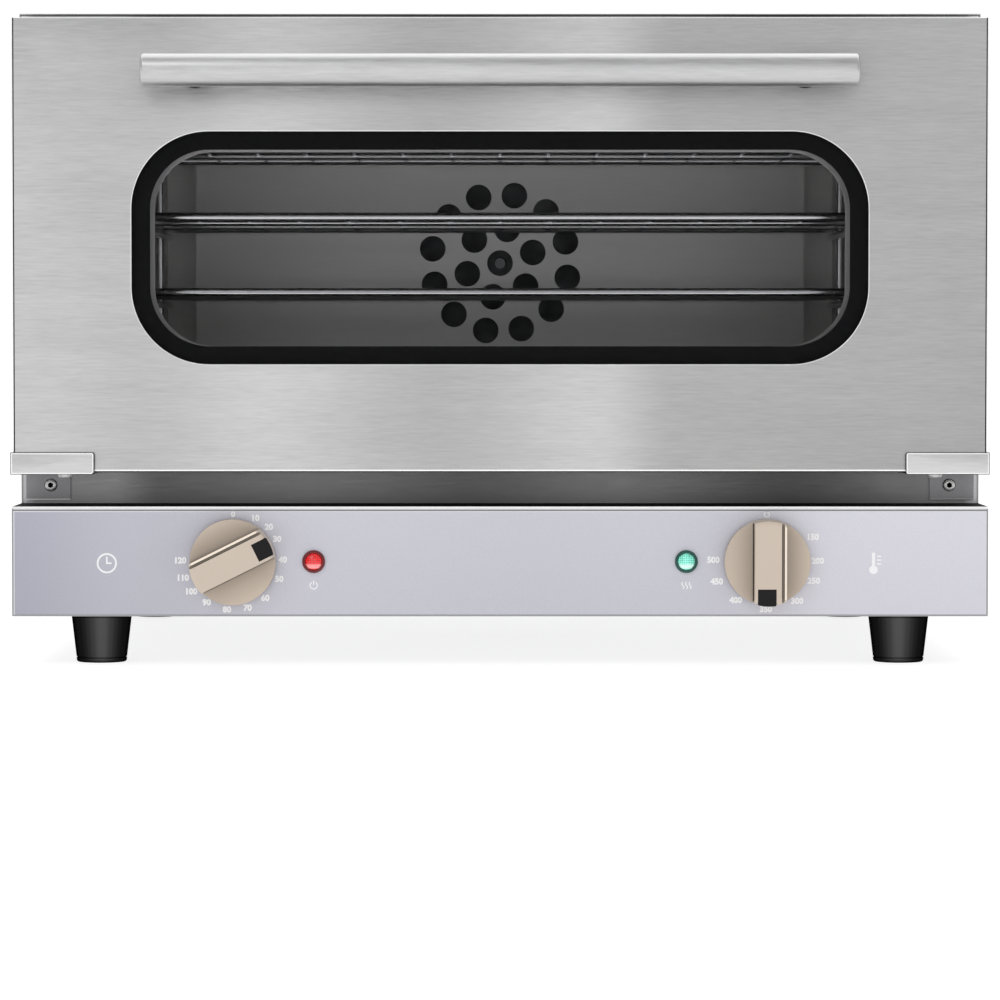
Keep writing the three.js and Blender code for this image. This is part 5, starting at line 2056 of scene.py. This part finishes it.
@dataclass
class Cavity(SubAssembly):
    """The lined cavity, its wool, its seal, its rack guides and the thermostat's bulb."""

    rod_radius: float = 2.5 * MM
    rod_end: float = 0.8 * MM
    post_inset: float = 41 * MM
    rack_gap: float = 0.3 * MM

    def build(self) -> None:
        """Builds the cavity."""
        self.sheet("cavity_liner", Finishes.LINER, "liner_steel", edge=0.4 * MM)
        self.paint("insulation_wrap", Finishes.WOOL)
        self._gasket()
        for side in Side:
            self._guide(side)
        self.sheet("thermostat_bulb", Finishes.CHROME, "wire_chrome", edge=0.3 * MM)

    def _gasket(self) -> None:
        """Rounds the seal into a bulb."""
        gasket = soften(self.copy_of("door_gasket"), 2.4 * MM, 4, 50.0)
        self.place(gasket, Body.CABINET, Finishes.SILICONE, "gasket_rubber", "door_gasket")

    def _guide(self, side: Side) -> None:
        """Builds the wire guide on one wall.

        Args:
            side: the side of the oven.
        """
        node = f"rack_guide_{side.word}"
        low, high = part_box(node)
        r = self.rod_radius
        post_x, runner_x = low.x + r, high.x - r
        if side is Side.RIGHT:
            post_x, runner_x = runner_x, post_x
        racks = [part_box(f"wire_rack_{level}")[0].z for level in ("lower", "middle", "upper")]
        levels = [rack - r - self.rack_gap for rack in racks]
        levels.insert(0, 2 * levels[0] - levels[1])
        post, run = self._rod(low.z, high.z), self._rod(low.y, high.y)
        rods = []
        for y in (low.y + self.post_inset, high.y - self.post_inset):
            rods.append(turned("post", post, (post_x, y, 0), Facing.UP, 20))
        for z in levels:
            rods.append(turned("runner", run, (runner_x, 0, z), Facing.BACK, 20))
        guide = smooth(joined(f"{node}_finished", rods), 40.0)
        self.place(guide, Body.CABINET, Finishes.CHROME, "wire_chrome", node)

    def _rod(self, start: float, end: float) -> Profile:
        """The outline of a guide's rod, from one softened end to the other."""
        r, tip, fall = self.rod_radius, self.rod_radius * 0.7, self.rod_end
        return [(tip, start), (r, start + fall), (r, end - fall), (tip, end)]


@dataclass
class WireRack(SubAssembly):
    """A chromed wire rack: a round frame, cross wires and two stays under them."""

    level: str = "lower"
    body: Body = Body.RACK_LOWER
    frame_radius: float = 3.0 * MM
    wire_radius: float = 1.6 * MM
    stay_radius: float = 2.2 * MM
    corner: float = 9 * MM
    wires: int = 13

    def build(self) -> None:
        """Builds the rack."""
        node = f"wire_rack_{self.level}"
        low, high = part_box(node)
        r, middle = self.frame_radius, (low.z + high.z) / 2
        left, front, right, back = low.x + r, low.y + r, high.x - r, high.y - r
        pieces = [
            wire_loop("rack_frame", (left, front, middle), (right, back, middle), r, self.corner)
        ]
        step = (high.x - low.x - 2 * r) / (self.wires + 1)
        x, z = left + step, middle + self.wire_radius / 2
        first = rod("wire", (x, front, z), (x, back, z), self.wire_radius, 12)
        pieces.append(first)
        pieces += [copied(first, "wire", (i * step, 0, 0)) for i in range(1, self.wires)]
        under = middle - self.stay_radius / 2
        for share in (1 / 3, 2 / 3):
            y = low.y + share * (high.y - low.y)
            stay = rod("stay", (left, y, under), (right, y, under), self.stay_radius, 16)
            pieces.append(stay)
        rack = smooth(joined(f"{node}_finished", pieces), 40.0)
        self.place(rack, self.body, Finishes.CHROME, "wire_chrome", node)


@dataclass
class FanSide(SubAssembly):
    """The fan behind its baffle, the ring heater round it and the motor that turns it."""

    hole_radius: float = 9 * MM
    hole_pitch: float = 24 * MM
    twist: float = 0.3
    screw_inset: float = 16 * MM
    past: float = 5 * MM

    def build(self) -> None:
        """Builds the fan side."""
        self._baffle()
        self.sheet("fan_impeller", Finishes.ALLOY, "cast_alloy", Body.FAN, 0.2 * MM)
        self.sheet("motor_shaft", Finishes.HINGE, "hinge_steel", Body.FAN, 0.4 * MM)
        heater = refined(self.copy_of("heating_element"), 2)
        self.place(heater, Body.CABINET, Finishes.HEATER, "heater_sheath", "heating_element")
        self.sheet("fan_motor", Finishes.ALLOY, "cast_alloy", edge=0.9 * MM)

    def _baffle(self) -> None:
        """Opens the baffle's holes to true circles and adds its thumbscrews."""
        low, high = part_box("fan_baffle")
        z = middle_of("fan_impeller")[2]
        start, end = (0, low.y - self.past, z), (0, low.y + self.past, z)
        model = rod("hole", start, end, self.hole_radius, 32)
        holes = [model]
        for ring in (1, 2):
            for i in range(6 * ring):
                angle = 2 * math.pi * (i + ring * self.twist) / (6 * ring)
                reach = ring * self.hole_pitch
                offset = (reach * math.cos(angle), 0, reach * math.sin(angle))
                holes.append(copied(model, "hole", offset))
        baffle = weld(cut(self.copy_of("fan_baffle"), *holes))
        soften(baffle, 0.25 * MM)
        self.place(baffle, Body.CABINET, Finishes.LINER, "liner_steel", "fan_baffle")
        inset = self.screw_inset
        xs, zs = (low.x + inset, high.x - inset), (low.z + inset, high.z - inset)
        places = [(x, low.y, z) for x in xs for z in zs]
        grip = [(5.5 * MM, 0.0), (6 * MM, 0.5 * MM), (6 * MM, 5 * MM), (5.2 * MM, 6 * MM)]
        screw = turned("thumbscrew", grip, places[0], Facing.FRONT, 24)
        row = soften(repeated("baffle_thumbscrews", screw, places), 0.3 * MM)
        self.place(row, Body.CABINET, Finishes.SCREW, "wire_chrome")


@dataclass
class Door(SubAssembly):
    """The door: its folded skin, inner panel, two panes, the printed border and the spacer."""

    sheet_thickness: float = 1 * MM
    window_radius: float = 47 * MM
    spacer_wall: float = 3 * MM
    border: float = 11 * MM
    fold: float = 0.9 * MM
    # The painted shadow under the hem, the painted highlight above it and the painted shadows beside
    # the sides
    lip: float = 0.6 * MM
    hem: float = 1.5 * MM
    seam_inner: float = 1.3 * MM
    seam_outer: float = 0.5 * MM
    slot_near: float = 2.5 * MM
    slot_far: float = 25.5 * MM
    slot_rise: float = 15 * MM
    slot_setback: float = 3 * MM
    pin_hole: float = 3.6 * MM
    pin_hole_inset: float = 1.8 * MM
    screw_hole: float = 2.3 * MM
    past: float = 5 * MM

    def build(self) -> None:
        """Builds the door."""
        self._skin()
        self.sheet("door_inner_panel", Finishes.LINER, "door_steel", Body.DOOR, 0.4 * MM)
        self._panes()
        self.sheet("glass_spacer", Finishes.BLACK, "black_plastic", Body.DOOR, 0.2 * MM)

    @property
    def window(self) -> tuple[Spot, Spot]:
        """The window's lowest and highest corners, as X and Z."""
        low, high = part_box("glass_spacer")
        wall = self.spacer_wall
        return (low.x + wall, low.z + wall), (high.x - wall, high.z - wall)

    def _opening(self, inset: float, front: float, back: float) -> Piece:
        """A prism of the window's shape.

        Args:
            inset: how far inside the window's edge it lies.
            front: its front Y.
            back: its back Y.

        Returns:
            The prism.
        """
        (x0, z0), (x1, z1) = self.window
        low, high = (x0 + inset, front, z0 + inset), (x1 - inset, back, z1 - inset)
        prism = block("opening", low, high)
        return round_corners(prism, 1, self.window_radius - inset, 20)

    def _skin(self) -> None:
        """Folds the outer skin and cuts its window, hinge slots, pin holes and screw holes."""
        low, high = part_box("door_skin")
        skin = tray("door_skin_finished", low, high, self.sheet_thickness, (0, 1, 0))
        over = self.past
        cut(skin, self._opening(0, low.y - over, low.y + over))
        _, *axis = middle_of("hinge_pin_right")
        slots, holes = [], []
        for side in Side:
            s = side.value
            near, far = sorted((s * (high.x - self.slot_near), s * (high.x - self.slot_far)))
            front, top = low.y + self.slot_setback, low.z + self.slot_rise
            slots.append(block("slot", (near, front, low.z - over), (far, high.y + over, top)))
            start, end = s * (high.x - self.pin_hole_inset), s * (high.x + over)
            holes.append(rod("hole", (start, *axis), (end, *axis), self.pin_hole, 32))
            x, y, _ = middle_of(f"bracket_screw_{side.word}")
            start, end = low.z - over, low.z + over
            holes.append(rod("hole", (x, y, start), (x, y, end), self.screw_hole, 24))
        cut(skin, *slots)
        weld(cut(skin, *holes))
        soften(skin, self.fold, 3)
        self.place(skin, Body.DOOR, Finishes.DOOR, "door_steel", "door_skin")
        self._dress_skin(skin)

    def _dress_skin(self, skin: Piece) -> None:
        """Paints highlights on the skin's folds and hem, and shadows in its side seams and under its
        hem.

        Args:
            skin: the finished skin.
        """
        low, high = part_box("door_skin")
        lip, hem = low.z + self.lip, low.z + self.hem
        inner, outer = high.x - self.seam_inner, high.x - self.seam_outer
        # Painted highlights on the skin's folds
        redress(skin, Finishes.FOLD, is_fold)
        split(skin, 2, lip)
        split(skin, 2, hem)
        for side in Side:
            split(skin, 0, side.value * inner)
            split(skin, 0, side.value * outer)

        def on_front(face: bmesh.types.BMFace) -> bool:
            """Whether a face lies on the skin's front."""
            return face.normal.y < -0.9 and centre_of(face).y < low.y + 0.1 * MM

        def on_hem(face: bmesh.types.BMFace) -> bool:
            """Whether a face lies on the painted highlight of the hem at the skin's foot."""
            return on_front(face) and centre_of(face).z < hem

        def on_seam(face: bmesh.types.BMFace) -> bool:
            """Whether a face lies in the painted shadow beside one of the skin's outer folds."""
            return on_front(face) and inner < abs(centre_of(face).x) < outer

        def on_lip(face: bmesh.types.BMFace) -> bool:
            """Whether a face lies in the painted shadow under the skin's hem."""
            middle = centre_of(face)
            return middle.z < lip and middle.y < low.y + self.fold

        # Painted highlight on the hem, painted shadow in the seams and under the hem
        redress(skin, Finishes.FOLD, on_hem)
        redress(skin, Finishes.SEAM, on_seam)
        redress(skin, Finishes.LIP, on_lip)

    def _panes(self) -> None:
        """Builds the two panes and the black border printed on the outer one."""
        for node, finish in (
            ("door_outer_glass", Finishes.OUTER_GLASS),
            ("door_inner_glass", Finishes.INNER_GLASS),
        ):
            low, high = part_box(node)
            pane = round_corners(block(f"{node}_finished", low, high), 1, 3 * MM, 4)
            soften(pane, 0.5 * MM)
            self.place(pane, Body.DOOR, finish, "door_glass", node)
        low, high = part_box("door_outer_glass")
        back = high.y
        over = (low.x, back + 0.05 * MM, low.z), (high.x, back + 0.15 * MM, high.z)
        border = block("window_border", *over)
        cut(border, self._opening(self.border, back - self.past, back + self.past))
        self.place(weld(border), Body.DOOR, Finishes.ENAMEL, "door_glass")


@dataclass
class Handle(SubAssembly):
    """The tubular handle on its two posts."""

    radius: float = 10 * MM
    post_radius: float = 9 * MM
    post_gap: float = 0.3 * MM
    # Each ring of a rounded end: how far it lies inside the bar's surface and from its end
    rounding: Profile = ((2.2 * MM, 0.0), (1 * MM, 0.25 * MM), (0.25 * MM, 1 * MM), (0.0, 2.2 * MM))

    def build(self) -> None:
        """Builds the bar and its posts."""
        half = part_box("handle_bar")[1].x
        middle = (0.0, *middle_of("handle_bar")[1:])
        end = [(self.radius - less, along - half) for less, along in self.rounding]
        profile = end + [(across, -along) for across, along in reversed(end)]
        bar = smooth(turned("handle_bar_finished", profile, middle, Facing.RIGHT, 64), 40.0)
        self.place(bar, Body.DOOR, Finishes.CASING_TOP, "casing_steel", "handle_bar")
        for side in Side:
            self._post(side, middle)

    def _post(self, side: Side, middle: Point) -> None:
        """Builds one post.

        Args:
            side: the side of the oven.
            middle: the bar's centre.
        """
        node = f"handle_post_{side.word}"
        x, _, z = middle_of(node)
        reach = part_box(node)[1].y - middle[1]
        r = self.post_radius
        profile = [
            (r - 1.2 * MM, 0.0),
            (r - 1.2 * MM, reach * 0.4),
            (r - 1.6 * MM, reach * 0.6),
            (r - 1.0 * MM, reach - 6 * MM),
            (r, reach - 4 * MM),
            (r, reach - 0.6 * MM),
            (r - 0.6 * MM, reach),
        ]
        post = turned(f"{node}_finished", profile, (x, middle[1], z), Facing.BACK, 56)
        start, end = (x - 2 * r, *middle[1:]), (x + 2 * r, *middle[1:])
        saddle = rod("saddle", start, end, self.radius + self.post_gap, 56)
        weld(cut(post, saddle))
        self.place(smooth(post, 30.0), Body.DOOR, Finishes.BLACK, "black_plastic", node)


@dataclass
class Hinges(SubAssembly):
    """The door's two hinges: arm, pin, bracket, torsion spring and screws."""

    corner: float = 1.4 * MM
    dark_band: float = 0.4 * MM
    bright_band: float = 0.6 * MM
    arm_line: float = 0.8 * MM
    rail_screw_height: float = 2.4 * MM
    bracket_screw_height: float = 2 * MM

    def build(self) -> None:
        """Builds both hinges."""
        for side in Side:
            word = side.word
            self._arm(f"hinge_arm_{word}")
            self.sheet(f"hinge_pin_{word}", Finishes.SCREW, "hinge_steel", edge=0.4 * MM)
            self._bracket(side)
            spring = f"hinge_spring_{word}"
            coil = refined(self.copy_of(spring), 2)
            self.place(coil, self._body_of(spring), Finishes.CHROME, "wire_chrome", spring)
            self._screw(f"hinge_screw_{word}", Facing.FRONT, self.rail_screw_height)
            self._screw(f"bracket_screw_{word}", Facing.DOWN, self.bracket_screw_height)

    def _arm(self, node: str) -> None:
        """Softens an arm and paints a highlight along the lower edge of its plate, in the bracket's
        lighter steel.

        Args:
            node: the CAD node.
        """
        arm = self.sheet(node, Finishes.HINGE, "hinge_steel", edge=0.25 * MM)
        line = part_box(node)[0].z + self.arm_line
        split(arm, 2, line)
        flatten_shading(smooth(arm))

        def on_edge(face: bmesh.types.BMFace) -> bool:
            """Whether a face of the plate's front lies on its lower edge, where the highlight is
            painted.
            """
            return face.normal.y < -0.5 and centre_of(face).z < line

        redress(arm, Finishes.BRACKET, on_edge)

    def _body_of(self, node: str) -> Body:
        """The body that carries a CAD node."""
        return Body(self.frame["nodes"][node]["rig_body"])

    def _bracket(self, side: Side) -> None:
        """Rounds the bracket's free corners, softens its edges and paints shade and highlights round
        them.

        Args:
            side: the side of the oven.
        """
        node = f"hinge_bracket_{side.word}"
        low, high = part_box(node)
        inner = low.x if side is Side.RIGHT else high.x
        piece = self.copy_of(node)

        def free_corner(edge: bmesh.types.BMEdge) -> bool:
            """Whether an edge is a corner at the bracket's free end."""
            return runs_along(edge, 1) and all(abs(v.co.x - inner) < 0.1 * MM for v in edge.verts)

        pick(piece, Part.EDGE, free_corner)
        bpy.ops.mesh.bevel(offset=self.corner, segments=5, affect="EDGES")
        leave_edit()
        soften(piece, 0.3 * MM)
        self.place(piece, Body.DOOR, Finishes.BRACKET, "casing_steel", node)
        # Painted shade on the bracket's folds
        redress(piece, Finishes.DARK_FOLD, is_fold)

        def on_front(face: bmesh.types.BMFace) -> bool:
            """Whether a face is the bracket's flat front."""
            return face.normal.y < -0.99 and centre_of(face).y < low.y + 0.1 * MM

        # A band of painted shade, then a band of painted highlight, run inside the front's edge
        dark, bright = (Finishes.DARK_FOLD, self.dark_band), (Finishes.FOLD, self.bright_band)
        banded(piece, on_front, (dark, bright))

    def _screw(self, node: str, facing: Facing, height: float) -> None:
        """Replaces a screw.

        Args:
            node: the CAD node.
            facing: the way its head points, to the front or down.
            height: the head's height.
        """
        low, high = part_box(node)
        x, y, z = middle_of(node)
        in_rail = facing is Facing.FRONT
        place = (x, low.y + height, z) if in_rail else (x, y, low.z + height)
        radius = (high.x - low.x) / 2
        # Screws in the rail take painted shade on their flanks
        head = pan_screw(f"{node}_finished", place, facing, radius, height, outlined=in_rail)
        self.place(head, self._body_of(node), None, "wire_chrome", node)


@dataclass
class RearFittings(SubAssembly):
    """The cord gland in the back panel and the terminal block behind it."""

    def build(self) -> None:
        """Builds the rear fittings."""
        self.sheet("cord_gland", Finishes.BLACK, "black_plastic", edge=0.5 * MM)
        self.sheet("terminal_block", Finishes.CERAMIC, "terminal_ceramic", edge=0.7 * MM)


# Studio


@dataclass(frozen=True)
class SoftLight:
    """A rectangular light: where it stands, what it points at, its size and its watts."""

    name: str
    place: Point
    target: Point
    size: tuple[float, float]
    power: float

    def build(self) -> None:
        """Adds the light."""
        deselect()
        bpy.ops.object.light_add(type="AREA", location=self.place)
        lamp = bpy.context.object
        lamp.name = f"light_{self.name}"
        lamp.visible_camera = False
        lamp.data.shape = "RECTANGLE"
        lamp.data.size, lamp.data.size_y = self.size
        lamp.data.energy = self.power
        aim_at(lamp, self.place, self.target)


def aim_at(piece: bpy.types.Object, place: Point, target: Point) -> None:
    """Turns a light or the camera from its place towards a target."""
    way = Vector(target) - Vector(place)
    piece.rotation_euler = way.to_track_quat("-Z", "Y").to_euler()


@dataclass
class Studio:
    """A pale floor and backdrop, soft lights and the camera."""

    lens: float = 159.72
    eye: Point = (0.0, -2.95, 0.205)
    aim: Point = (0.0, -0.25, 0.101)
    floor_size: float = 60.0
    floor_tone: float = 0.38
    floor_glow: float = 0.8
    wall_size: float = 24.0
    wall_glow: float = 1.02
    surround: float = 0.6
    lights: tuple[SoftLight, ...] = (
        SoftLight("front", (0.0, -5.0, 1.4), (0, -0.2, 0.15), (4.4, 3.2), 20),
        SoftLight("key", (-1.8, -3.2, 3.0), (0, -0.2, 0.15), (1.6, 1.2), 16),
        SoftLight("top", (0.0, 1.5, 3.6), (0, 1.4, 0.2), (6.0, 3.6), 70),
        SoftLight("rear", (0.6, 4.6, 1.8), (0, 0.2, 0.2), (3.4, 2.4), 6),
        SoftLight("left", (-4.6, 0.4, 1.6), (0, 0, 0.2), (2.6, 2.4), 5),
        SoftLight("right", (4.6, 0.4, 1.6), (0, 0, 0.2), (2.6, 2.4), 4),
    )

    def build(self) -> None:
        """Builds the studio."""
        self._floor()
        self._backdrop()
        for light in self.lights:
            light.build()
        self._world()
        self._camera()

    def _floor(self) -> None:
        """Lays a pale floor that glows, so that it runs into the backdrop without a line."""
        bench = NodeBench("studio_floor")
        dust = bench.noise(2.0, 3.0)
        tone = (self.floor_tone,) * 3
        material = bench.surface(
            {
                "Base Color": bench.tint(tone, 1.0 + 0.02 * dust),
                "Roughness": 0.8,
                "Specular IOR Level": 0.1,
                "Emission Color": (1.0, 1.0, 1.0, 1.0),
                "Emission Strength": self.floor_glow,
            }
        )
        deselect()
        bpy.ops.mesh.primitive_plane_add(size=self.floor_size, location=(0, 0, 0))
        floor = settle(bpy.context.object, "studio_floor")
        floor.data.materials.append(material)

    def _backdrop(self) -> None:
        """Stands an evenly lit white wall far behind the oven."""
        bench = NodeBench("studio_backdrop")
        glow = {"Color": (1.0, 1.0, 1.0, 1.0), "Strength": self.wall_glow}
        material = bench.close(bench.value("ShaderNodeEmission", 0, None, glow))
        deselect()
        size = self.wall_size
        stand = {"location": (0, size / 2, size / 2), "rotation": (math.pi / 2, 0, 0)}
        bpy.ops.mesh.primitive_plane_add(size=size, **stand)
        wall = settle(bpy.context.object, "studio_backdrop")
        wall.data.materials.append(material)

    def _world(self) -> None:
        """Sets a plain white surround."""
        scene = bpy.context.scene
        scene.world = scene.world or bpy.data.worlds.new("surround")
        scene.world.use_nodes = True
        background = scene.world.node_tree.nodes["Background"]
        background.inputs["Color"].default_value = (1.0, 1.0, 1.0, 1.0)
        background.inputs["Strength"].default_value = self.surround
        scene.view_settings.view_transform = "Standard"

    def _camera(self) -> None:
        """Sets the camera in front of the oven, a little above the control strip."""
        deselect()
        bpy.ops.object.camera_add(location=self.eye)
        camera = bpy.context.object
        camera.name = "camera"
        aim_at(camera, self.eye, self.aim)
        camera.data.lens = self.lens
        camera.data.sensor_width = 36.0
        camera.data.clip_end = 100.0
        bpy.context.scene.camera = camera


def main() -> None:
    """Builds the oven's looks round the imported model."""
    logging.basicConfig(level=logging.INFO, format="%(name)s: %(message)s")
    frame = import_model()
    assemblies: list[SubAssembly] = [
        Casing(frame),
        ControlStrip(frame),
        Knob(frame, prefix="timer", body=Body.TIMER, pointer=63.5),
        Knob(frame, prefix="temp", body=Body.TEMPERATURE, pointer=180.0),
        PilotLamp(frame),
        PilotLamp(
            frame,
            node="heating_lens",
            lens=Finishes.GREEN,
            ring=Finishes.GREEN_RING,
            slot="green_lens",
        ),
        Feet(frame),
        Cavity(frame),
        WireRack(frame, level="lower", body=Body.RACK_LOWER),
        WireRack(frame, level="middle", body=Body.RACK_MIDDLE),
        WireRack(frame, level="upper", body=Body.RACK_UPPER),
        FanSide(frame),
        Door(frame),
        Handle(frame),
        Hinges(frame),
        RearFittings(frame),
    ]
    for assembly in assemblies:
        assembly.build()
        assembly.report()
    Studio().build()


if __name__ == "__main__":
    main()
